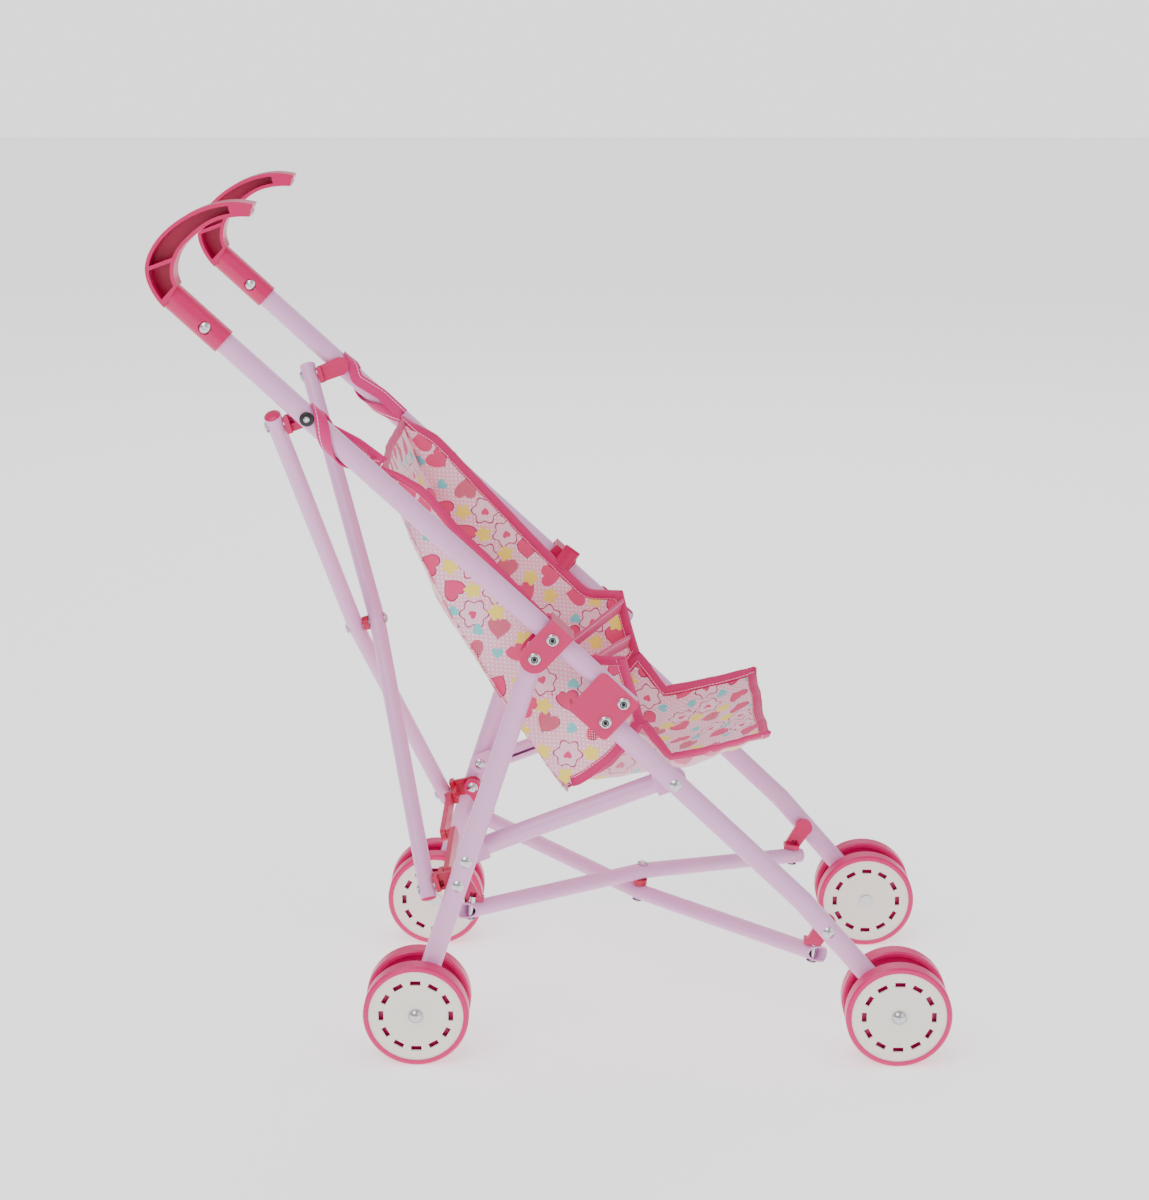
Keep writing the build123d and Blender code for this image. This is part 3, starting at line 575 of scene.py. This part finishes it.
@dataclass
class Strip:
    """A flat ribbon with rounded edges along a line in space."""

    name: str
    line: np.ndarray
    across: np.ndarray
    width: float
    thickness: float
    finish: Finish
    closed: bool = False

    def build(self) -> bpy.types.Object:
        """Makes the ribbon's mesh.

        Returns:
            The object.
        """
        along = np.gradient(self.line, axis=0)
        if self.closed:
            along = np.roll(self.line, -1, axis=0) - np.roll(self.line, 1, axis=0)
        along = unit(along)
        across = unit(self.across - (self.across * along).sum(1, keepdims=True) * along)
        up = np.cross(along, across)
        half, thin = self.width / 2, self.thickness / 2
        ring = [(half - thin, thin), (half, 0), (half - thin, -thin), (0, -thin)]
        ring += [(thin - half, -thin), (-half, 0), (thin - half, thin), (0, thin)]
        points = np.stack([self.line + across * a + up * b for a, b in ring], axis=1)
        gone = np.concatenate([[0.0], np.cumsum(np.linalg.norm(np.diff(self.line, axis=0), axis=1))])
        flat = np.array([[(g, a) for a, _ in ring] for g in gone])
        faces = ring_faces(len(self.line), len(ring), self.closed)
        made = make_object(self.name, points.reshape(-1, 3), faces, self.finish)
        lay_out(made, flat.reshape(-1, 2))
        return made

    def length(self) -> float:
        """The ribbon's length, in metres."""
        closing = [self.line[:1]] if self.closed else []
        return float(np.linalg.norm(np.diff(np.concatenate([self.line, *closing]), axis=0), axis=1).sum())


@dataclass
class ClothPanel:
    """A panel of the seat as a grid of points, cut to a flat shape."""

    name: str
    points: np.ndarray
    flat: np.ndarray
    thickness: float = 0.0009

    def crease(self, deep: float, fine: float, seed: float) -> None:
        """Adds soft folds and fine creases to the panel.

        Args:
            deep: Height of the broad folds.
            fine: Height of the fine creases.
            seed: Picks the pattern.
        """
        away = self.normals()
        rows, columns = self.points.shape[:2]
        for i in range(rows):
            for j in range(columns):
                p = Vector(self.points[i, j]) + Vector((seed, 0, seed))
                height = deep * noise.noise(p * 24.0) + fine * noise.noise(p * 95.0)
                ridge = abs(noise.noise(p * 42.0 + Vector((0, seed, 0))))
                height += fine * 1.4 * max(0.0, 0.25 - ridge) * 4
                self.points[i, j] += away[i, j] * height

    def normals(self) -> np.ndarray:
        """The panel's unit normals, at each point."""
        return unit(np.cross(np.gradient(self.points, axis=0), np.gradient(self.points, axis=1)))

    def edge(self, which: Edge) -> tuple[np.ndarray, np.ndarray]:
        """The line of one edge.

        Args:
            which: The edge.

        Returns:
            Its points, and the directions from them into the cloth.
        """
        grid = self.points if which in (Edge.FIRST_ROW, Edge.LAST_ROW) else self.points.transpose(1, 0, 2)
        if which in (Edge.LAST_ROW, Edge.LAST_COLUMN):
            grid = grid[::-1]
        return grid[0].copy(), unit(grid[3] - grid[0])

    def build(self) -> bpy.types.Object:
        """Makes the panel's mesh, with a right side and a wrong side.

        Returns:
            The object.
        """
        rows, columns = self.points.shape[:2]
        shift = self.normals() * self.thickness / 2
        points = np.concatenate([(self.points + shift).reshape(-1, 3), (self.points - shift).reshape(-1, 3)])
        index = np.arange(rows * columns).reshape(rows, columns)
        other = index + rows * columns
        faces = []
        for i in range(rows - 1):
            for j in range(columns - 1):
                faces.append((index[i, j], index[i + 1, j], index[i + 1, j + 1], index[i, j + 1]))
        front = len(faces)
        for i in range(rows - 1):
            for j in range(columns - 1):
                faces.append((other[i, j], other[i, j + 1], other[i + 1, j + 1], other[i + 1, j]))
        loop = [*index[0, :], *index[1:, -1], *index[-1, -2::-1], *index[-2:0:-1, 0]]
        for a, b in zip(loop, loop[1:] + loop[:1]):
            faces.append((a, b, b + rows * columns, a + rows * columns))
        faces = [tuple(int(k) for k in f) for f in faces]
        made = make_object(self.name, points, faces, [CLOTH, CLOTH_BACK])
        for polygon in made.data.polygons[front:]:
            polygon.material_index = 1
        flat = self.flat.reshape(-1, 2)
        lay_out(made, np.concatenate([flat, flat]))
        return made

    def declare(self, made: bpy.types.Object, with_pieces: Sequence) -> None:
        """Does nothing; the size of the flat cut is not given.

        Args:
            made: The panel's object. Not used.
            with_pieces: The bindings sewn on it. Not used.
        """


def lathe(
    name: str, centre: Vector, axis: Vector, outline: Sequence[Plot], finish: Finish
) -> bpy.types.Object:
    """Turns an outline round an axis.

    Args:
        name: The piece's name.
        centre: Where the axis starts.
        axis: The axis.
        outline: Radius and height of each corner, in metres.
        finish: Its finish.

    Returns:
        The object.
    """
    axis = axis.normalized()
    side = axis.orthogonal().normalized()
    other = axis.cross(side)
    count = 40
    turns = [2 * math.pi * i / count for i in range(count)]
    points = []
    for radius, height in outline:
        for turn in turns:
            points.append(centre + axis * height + (side * math.cos(turn) + other * math.sin(turn)) * radius)
    faces = [tuple(f) for f in ring_faces(len(outline), count, False)]
    return make_object(name, np.array([tuple(p) for p in points]), faces, finish)


# ---- the seat ---------------------------------------------------------------------------------------
@dataclass
class Seat:
    """The slung cloth seat: two wings, a back, a base with turned-up sides, bindings and straps."""

    half_top: float = 0.0798
    half_low: float = 0.0765
    wing_top: tuple = ((-108.8, 374.4), (-87.0, 362.0), (-24.5, 294.0), (12.5, 255.5), (37.0, 254.7))
    wing_low: tuple = (
        (-108.4, 368.5), (-75.2, 291.0), (-39.2, 227.5), (2.2, 167.0), (29.9, 187.6), (48.0, 213.0),
    )
    back_line: tuple = ((-108.8, 373.0), (-75.2, 291.0), (-39.2, 227.5), (2.2, 167.0))
    pan_line: tuple = ((3.4, 168.4), (30.0, 171.0), (75.0, 176.0), (112.0, 190.0), (127.5, 200.0))
    rim_line: tuple = (
        (3.4, 168.6), (30.0, 187.0), (48.0, 214.0), (66.0, 189.0), (100.0, 197.0), (129.0, 205.0),
    )
    rim_half: tuple = ((3.4, 75.0), (48.0, 75.5), (66.0, 74.0), (129.0, 69.5))
    binding_width: float = 0.0074
    binding_thickness: float = 0.0024
    pieces: list = field(default_factory=list)

    def build(self) -> None:
        """Builds every piece of the seat and rides it on its bodies."""
        wings = [self.wing(side) for side in Side]
        back = self.back()
        base = self.base()
        for panel, body, edges in (
            (wings[0], "seat_back", (Edge.FIRST_ROW, Edge.LAST_COLUMN)),
            (wings[1], "seat_back", (Edge.FIRST_ROW, Edge.LAST_COLUMN)),
            (back, "seat_back", (Edge.FIRST_ROW,)),
            (base, "seat_base", (Edge.FIRST_COLUMN, Edge.LAST_COLUMN, Edge.LAST_ROW)),
        ):
            made = panel.build()
            bindings = [self.binding(panel, which) for which in edges]
            if panel in wings:
                bindings.append(self.low_binding(panel))
            self.settle(made, body)
            for piece in bindings:
                self.settle(piece, body)
            panel.declare(made, bindings)
            ROOM.info("cloth panel %s with %d bindings", panel.name, len(bindings))
            if panel is back:
                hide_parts("seat_back")
            if panel is base:
                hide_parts("seat_base")
        self.straps()
        self.clip()

    def settle(self, made: bpy.types.Object, body: str) -> None:
        """Rides a soft piece on its body, gives it a mesh of its own and keeps it with the seat's pieces.

        Args:
            made: The piece.
            body: The body it rides on.
        """
        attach(made, body)
        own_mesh(made)
        self.pieces.append(made)

    def wing(self, side: Side) -> ClothPanel:
        """A side wing, from the push tube down to the back seam and the bound lower edge.

        Args:
            side: Which side of the stroller.

        Returns:
            The panel.
        """
        rows, columns = 34, 72
        top = even(self.wing_top, columns, 3) * MM
        low = even(self.wing_low, columns, 3) * MM
        share = np.linspace(0, 1, rows)[:, None, None]
        plane = top[None] * (1 - share) + low[None] * share
        gap = self.half_top + (self.half_low - self.half_top) * share
        gap = gap - 0.0035 * np.sin(np.pi * share)
        y = side.value * np.broadcast_to(gap, plane.shape[:2] + (1,))
        points = np.concatenate([plane[..., :1], y, plane[..., 1:]], axis=2)
        turn = math.radians(-44)
        c, s = math.cos(turn), math.sin(turn)
        x, z = plane[..., 0], plane[..., 1]
        flat = np.stack([x * c - z * s, x * s + z * c], axis=2)
        panel = ClothPanel(f"{side.word}_wing", points, flat)
        panel.crease(0.0022, 0.0005, 3.0 + side.value)
        return panel

    def back(self) -> ClothPanel:
        """The back panel between the wings, bellied out backwards."""
        rows, columns = 56, 44
        line = even(self.back_line, rows, 3) * MM
        across = np.linspace(-1, 1, columns)
        down = np.linspace(0, 1, rows)
        half = self.half_top + (self.half_low - self.half_top) * down
        points = np.zeros((rows, columns, 3))
        belly = (1 - across[None, :] ** 2) * (0.002 + 0.009 * np.sin(np.pi * down) ** 0.8)[:, None]
        points[..., 0] = line[:, :1] - belly * 0.88
        points[..., 1] = half[:, None] * across[None, :]
        points[..., 2] = line[:, 1:] - belly * 0.48
        gone = np.concatenate([[0.0], np.cumsum(np.linalg.norm(np.diff(line, axis=0), axis=1))])
        flat = np.stack([points[..., 1], np.broadcast_to(-gone[:, None], (rows, columns))], axis=2)
        panel = ClothPanel("back_panel", points, flat.copy())
        panel.crease(0.002, 0.0005, 9.0)
        return panel

    def base(self) -> ClothPanel:
        """The base, a shallow trough whose sides turn up to bound rims."""
        rows, columns = 52, 60
        pan = even(self.pan_line, rows, 2) * MM
        x = pan[:, 0]
        rims = np.array(self.rim_line) * MM
        rim = np.interp(x, rims[:, 0], rims[:, 1])
        halves = np.array(self.rim_half) * MM
        half = np.interp(x, halves[:, 0], halves[:, 1])
        across = np.linspace(-1, 1, columns)
        rise = np.abs(across) ** 9
        points = np.zeros((rows, columns, 3))
        points[..., 0] = x[:, None]
        points[..., 1] = half[:, None] * np.sign(across) * np.abs(across) ** 0.9
        sag = 0.004 * (1 - across**2)[None, :] * np.sin(np.pi * np.linspace(0.1, 1, rows))[:, None]
        points[..., 2] = pan[:, 1:] + (rim[:, None] - pan[:, 1:]) * rise[None, :] - sag
        front = np.clip((x - 0.112) / 0.016, 0, 1)[:, None]
        points[..., 2] -= 0.004 * front * (1 - across[None, :] ** 2) * (1 + 0.5 * np.cos(7 * across))[None, :]
        lengths = np.linalg.norm(np.diff(points, axis=1), axis=2)
        wide = np.concatenate([np.zeros((rows, 1)), np.cumsum(lengths, axis=1)], axis=1)
        wide -= wide[:, -1:] / 2
        gone = np.concatenate([[0.0], np.cumsum(np.linalg.norm(np.diff(pan, axis=0), axis=1))])
        flat = np.stack([wide, np.broadcast_to(gone[:, None], (rows, columns))], axis=2)
        panel = ClothPanel("base_panel", points, flat.copy())
        panel.crease(0.0024, 0.0007, 15.0)
        return panel

    def binding(self, panel: ClothPanel, which: Edge) -> bpy.types.Object:
        """A satin binding folded over one edge of a panel.

        Args:
            panel: The panel.
            which: Its edge.

        Returns:
            The binding.
        """
        line, inward = panel.edge(which)
        name = f"{panel.name}_{which.name.lower()}_binding"
        return self.fold_over(name, line, inward)

    def fold_over(self, name: str, line: np.ndarray, inward: np.ndarray) -> bpy.types.Object:
        """A satin strip folded over a line of cloth.

        Args:
            name: The piece's name.
            line: The cloth's edge.
            inward: The directions from it into the cloth.

        Returns:
            The strip.
        """
        middle = line + inward * (self.binding_width / 2 - 0.0012)
        strip = Strip(name, middle, inward, self.binding_width, self.binding_thickness, BINDING)
        return strip.build()

    def low_binding(self, wing: ClothPanel) -> bpy.types.Object:
        """The binding of a wing's lower edge, from the bottom corner forward."""
        line, inward = wing.edge(Edge.LAST_ROW)
        start = int(np.argmin(line[:, 2]))
        return self.fold_over(f"{wing.name}_low_binding", line[start:], inward[start:])

    def straps(self) -> None:
        """The two lap straps, from the left wing's front edge back across the seat."""
        routes = (
            (
                (38.0, 77.5, 247.0), (24.0, 45.0, 246.5), (3.0, 0.0, 243.0),
                (-14.0, -45.0, 238.0), (-26.0, -76.0, 236.0),
            ),
            (
                (43.5, 77.0, 222.0), (33.0, 45.0, 225.5), (19.0, 0.0, 229.0),
                (4.0, -45.0, 228.0), (-8.0, -75.5, 226.0),
            ),
        )
        for number, route in enumerate(routes):
            line = even(route, 60, 6) * MM
            line[:, 2] -= 0.003 * np.sin(np.linspace(0, math.pi, 60)) * (1 - number)
            lean = np.tile([0.25, 0.0, 1.0], (60, 1))
            name = ("upper", "lower")[number] + "_lap_strap"
            strip = Strip(name, line, lean, 0.0101, 0.0011, RIBBON)
            made = strip.build()
            self.settle(made, "seat_back")
            if number == 0:
                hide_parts("lap_straps")
            ROOM.info("lap strap %s, %.0f mm", name, strip.length() / MM)

    def clip(self) -> None:
        """The small sewn tab and clip on the left wing's upper edge."""
        route = [(-4.5, 80.0, 272.0), (-1.0, 80.6, 276.5), (2.0, 81.0, 280.5), (4.6, 81.2, 284.0)]
        line = np.array(route) * MM
        lean = np.tile([-0.72, 0.0, 0.69], (4, 1))
        strip = Strip("belt_tab", even(line, 12), np.resize(lean, (12, 3)), 0.0115, 0.0032, PINK)
        made = strip.build()
        self.settle(made, "seat_back")
        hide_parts("belt_clip")
        ROOM.info("belt tab")


@dataclass
class TubeTie:
    """A ribbon loop that hangs a top corner of the seat from a push tube."""

    side: Side
    width: float = 0.0082
    lift: float = 0.0078

    def build(self) -> None:
        """Wraps the ribbon round the tube and leads it down to the seat's corner."""
        y = TUBE_PLANE * self.side.value
        up = np.array([-0.7325, 0.0, 0.6807])
        over = np.array([0.6807, 0.0, 0.7325])
        out = np.array([0.0, float(self.side.value), 0.0])
        anchor = np.array([-136.0, 0.0, 393.4]) * MM + [0, y, 0]
        corner = np.array([-109.5, 79.5 * self.side.value, 374.6]) * MM
        turns = np.linspace(-0.75 * math.pi, 0.95 * math.pi, 60)
        climb = np.interp(turns, [turns[0], 0.5 * math.pi, turns[-1]], [-0.016, 0.021, 0.006])
        spokes = [out * math.cos(t) + over * math.sin(t) for t in turns]
        coil = np.array([anchor + up * c + spoke * self.lift for spoke, c in zip(spokes, climb)])
        first = even([corner - out * 0.0015, corner + (coil[0] - corner) * 0.5, coil[0]], 12)
        last = even([coil[-1], corner + (coil[-1] - corner) * 0.5 + over * 0.003, corner + over * 0.002], 14)
        line = even(np.concatenate([first[:-1], coil, last[1:]]), 110, 2)
        axis = np.array([anchor + up * float((p - anchor) @ up) for p in line])
        spoke = unit(line - axis)
        along = unit(np.gradient(line, axis=0))
        across = np.cross(spoke, along)
        strip = Strip(f"{self.side.word}_seat_tie", line, across, self.width, 0.0009, RIBBON)
        made = strip.build()
        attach(made, f"push_{self.side.word}")
        ROOM.info("seat tie %s, %.0f mm", self.side.word, strip.length() / MM)


# ---- frame details ----------------------------------------------------------------------------------
@dataclass
class FrameDress:
    """Paint, plastic and plating on the machined pieces."""

    frame: dict

    def build(self) -> None:
        """Gives each machined piece the finish that its slot in model.json calls for."""
        slots = {part["node"]: part["material_slot"] for part in self.frame["record"]["subparts"]}
        for name, piece in self.frame["nodes"].items():
            finish = SLOT_FINISH[slots[name]]
            piece.data.materials.clear()
            piece.data.materials.append(finish.material())
        ROOM.info("dressed %d machined pieces", len(self.frame["nodes"]))


@dataclass
class EyeletFaces:
    """Rolled rings on the tubular rivets of the side brackets, with dark discs of painted shade in their
    hollows.
    """

    ring_radius: float = 0.0027
    roll: float = 0.00075
    hollow: float = 0.0022
    places: dict = field(
        default_factory=lambda: {
            "push": ((-6.23, 272.87), (-17.12, 261.15)),
            "front_leg": ((36.55, 233.12), (25.66, 221.40)),
        }
    )

    def build(self) -> None:
        """Puts a ring and a dark disc of painted shade in the hollow of each rivet head; the elbow's rivets
        have no inner head.
        """
        count = 0
        for side in Side:
            for group, spots in self.places.items():
                tail = "rivets" if group == "push" else "rivets_and_axle"
                node = f"{side.word}_{group}_{tail}"
                for n, (x, z) in enumerate(spots):
                    for way, face in self.faces(node, x * MM, z * MM).items():
                        if group == "front_leg" and face[1] != side.value:
                            continue
                        self.one(f"{side.word}_{group}_{n}_{way}", f"{group}_{side.word}", x, z, face)
                        count += 1
        ROOM.info("eyelet faces: %d", count)

    def faces(self, node: str, x: float, z: float) -> dict:
        """Where a rivet's two heads end.

        Args:
            node: The rivets' piece.
            x: The rivet's place.
            z: The rivet's place.

        Returns:
            The end of each head by name, as y and the way it faces.
        """
        points = np.array([v.co for v in bpy.data.objects[node].data.vertices])
        near = points[np.hypot(points[:, 0] - x, points[:, 2] - z) < 0.005]
        return {"low": (float(near[:, 1].min()), -1.0), "high": (float(near[:, 1].max()), 1.0)}

    def one(self, name: str, body: str, x: float, z: float, face: tuple[float, float]) -> None:
        """Makes one ring and the dark disc of painted shade in its hollow.

        Args:
            name: First part of the pieces' names.
            body: The body they ride on.
            x: The rivet's place, in millimetres.
            z: The rivet's place, in millimetres.
            face: Where the head ends, and the way it faces.
        """
        y, way = face
        centre = Vector((x * MM, y - way * 0.0005, z * MM))
        turns = [math.pi * i / 8 for i in range(9)]
        out = [(self.ring_radius + self.roll * math.cos(t), self.roll * math.sin(t)) for t in turns]
        ring = lathe(f"{name}_ring", centre, Vector((0, way, 0)), out, CHROME)
        cup = [(self.hollow, 0.0), (self.hollow, 0.00055), (self.hollow * 0.6, 0.0004), (0.0003, 0.0003)]
        # A dark disc of painted shade fills the rivet's hollow.
        hollow = lathe(f"{name}_hollow", centre, Vector((0, way, 0)), cup, HOLLOW_SHADE)
        for piece in (ring, hollow):
            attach(piece, body)


@dataclass
class PinCaps:
    """Black caps over the pins of the upper cross bar brackets."""

    radius: float = 0.0043
    x: float = -150.24
    z: float = 406.70

    def build(self) -> None:
        """Caps the outer end of each pin."""
        for side in Side:
            points = np.array([v.co for v in bpy.data.objects[f"{side.word}_push_rivets"].data.vertices])
            near = points[np.hypot(points[:, 0] - self.x * MM, points[:, 2] - self.z * MM) < 0.006]
            y = float((near[:, 1] * side.value).max()) * side.value
            out = Vector((0, side.value, 0))
            centre = Vector((self.x * MM, y, self.z * MM)) - out * 0.0015
            turns = [math.radians(90 * i / 6) for i in range(7)]
            crown = [(self.radius * math.cos(t) + 1e-5, 0.0012 + 0.0009 * math.sin(t)) for t in turns]
            cap = [(self.radius, 0.0), *crown]
            piece = lathe(f"{side.word}_pin_cap", centre, out, cap, BLACK)
            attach(piece, f"push_{side.word}")
            end = [(0.0018, 0), (0.0018, 0.0004), (1e-5, 0.0005)]
            bore = lathe(f"{side.word}_pin_cap_centre", centre + out * 0.0019, out, end, CHROME)
            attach(bore, f"push_{side.word}")
        ROOM.info("pin caps on both sides")


@dataclass
class TubePlugs:
    """Pink plugs in the right-hand ends of the rear cross bars."""

    radius: float = 0.0049
    bars: dict = field(default_factory=lambda: {"rear_bar_front": "low", "rear_bar_back": "top"})

    def build(self) -> None:
        """Plugs each bar end."""
        for bar, end in self.bars.items():
            points = np.array([v.co for v in bpy.data.objects[bar].data.vertices])
            order = np.argsort(points[:, 2])
            low, top = points[order[:40]].mean(0), points[order[-40:]].mean(0)
            axis = Vector(top - low).normalized() * (1 if end == "top" else -1)
            reach = points @ np.array(axis)
            tip = points[reach > reach.max() - 0.0006].mean(0)
            turns = [math.radians(90 * i / 6) for i in range(7)]
            crown = [(self.radius * math.cos(t) + 1e-5, 0.0016 * math.sin(t)) for t in turns]
            cap = [(self.radius, -0.001), *crown]
            piece = lathe(f"{bar}_plug", Vector(tip), axis, cap, PINK)
            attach(piece, bar)
        ROOM.info("tube plugs: %d", len(self.bars))


@dataclass
class DiscStars:
    """Raised star lines moulded on the wheel discs."""

    outer: float = 0.0168
    inner: float = 0.0078
    ridge: float = 0.0006
    height: float = 0.0006

    def build(self) -> None:
        """Puts a star on each wheel's disc."""
        for side in Side:
            for end in ("front", "rear"):
                for place in ("outer", "inner"):
                    self.one(side, end, place)
        ROOM.info("disc stars: 8")

    def one(self, side: Side, end: str, place: str) -> None:
        """Makes one disc's star.

        Args:
            side: The stroller's side.
            end: The axle.
            place: The outer or the inner wheel.
        """
        name = f"{side.word}_{end}_{place}"
        points = np.array([v.co for v in bpy.data.objects[f"{name}_disc"].data.vertices])
        middle = (points.min(0) + points.max(0)) / 2
        way = side.value if place == "outer" else -side.value
        spread = np.hypot(points[:, 0] - middle[0], points[:, 2] - middle[2])
        plate = points[(spread > 0.012) & (spread < 0.018)]
        y = float((plate[:, 1] * way).max()) * way if len(plate) else middle[1]
        corners = []
        for i in range(10):
            turn = math.radians(36 * i + 90)
            reach = self.outer if i % 2 == 0 else self.inner
            x, z = middle[0] + reach * math.cos(turn), middle[2] + reach * math.sin(turn)
            corners.append((x, y + way * 0.0001, z))
        line = even([*corners, corners[0]], 100)[:-1]
        across = unit(line - [middle[0], y, middle[2]])
        strip = Strip(f"{name}_star", line, across, self.ridge, self.height, WHITE, closed=True)
        piece = strip.build()
        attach(piece, f"{name}_wheel")


# ---- studio -----------------------------------------------------------------------------------------
@dataclass
class Lamp:
    """A soft square lamp."""

    name: str
    place: tuple[float, float, float]
    power: float
    size: float

    def build(self) -> None:
        """Hangs the lamp, turned to the stroller."""
        data = bpy.data.lights.new(self.name, "AREA")
        data.energy, data.size = self.power, self.size
        lamp = bpy.data.objects.new(self.name, data)
        lamp.location = self.place
        lamp.rotation_euler = (Vector((0, 0, 0.25)) - Vector(self.place)).to_track_quat("-Z", "Y").to_euler()
        bpy.context.scene.collection.objects.link(lamp)


@dataclass
class Studio:
    """The floor, the lamps and the camera, with a backdrop brighter than the light it gives."""

    camera_place: tuple[float, float, float] = (0.01857, -1.51634, 0.66904)
    camera_down: float = 14.74
    camera_turn: float = 0.474
    lens: float = 73.33
    lamps: tuple = (
        Lamp("key_lamp", (-1.1, -1.6, 2.3), 30.0, 1.6),
        Lamp("fill_lamp", (1.8, -1.4, 1.2), 10.0, 1.8),
        Lamp("back_lamp", (0.3, 1.8, 2.0), 18.0, 1.8),
    )

    def build(self) -> None:
        """Sets out the studio."""
        half = 8.0
        corners = np.array([(-half, -half, 0.0), (half, -half, 0.0), (half, half, 0.0), (-half, half, 0.0)])
        floor = make_object("floor", corners, [(0, 1, 2, 3)], FLOOR)
        for lamp in self.lamps:
            lamp.build()
        world = bpy.data.worlds.new("white_studio")
        world.use_nodes = True
        back = world.node_tree.nodes["Background"]
        back.inputs["Color"].default_value = (1.0, 1.0, 1.0, 1.0)
        seen = world.node_tree.nodes.new("ShaderNodeLightPath").outputs["Is Camera Ray"]
        brightness = world.node_tree.nodes.new("ShaderNodeMath")
        brightness.operation = "MULTIPLY_ADD"
        brightness.inputs[1].default_value, brightness.inputs[2].default_value = 1.1, 0.7
        world.node_tree.links.new(seen, brightness.inputs[0])
        world.node_tree.links.new(brightness.outputs[0], back.inputs["Strength"])
        bpy.context.scene.world = world
        data = bpy.data.cameras.new("camera")
        data.lens, data.sensor_width = self.lens, 36.0
        data.clip_end = 50.0
        camera = bpy.data.objects.new("camera", data)
        camera.location = self.camera_place
        camera.rotation_euler = (math.radians(90 - self.camera_down), 0.0, math.radians(self.camera_turn))
        bpy.context.scene.collection.objects.link(camera)
        bpy.context.scene.camera = camera
        ROOM.info("studio with %d lamps", len(self.lamps))


def main() -> None:
    """Builds the whole scene."""
    logging.basicConfig(level=logging.INFO, format="%(name)s: %(message)s")
    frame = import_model()
    builders: list[object] = [FrameDress(frame), Seat(), TubeTie(Side.RIGHT), TubeTie(Side.LEFT)]
    builders += [EyeletFaces(), PinCaps(), TubePlugs(), DiscStars(), Studio()]
    for builder in builders:
        builder.build()


if __name__ == "__main__":
    main()
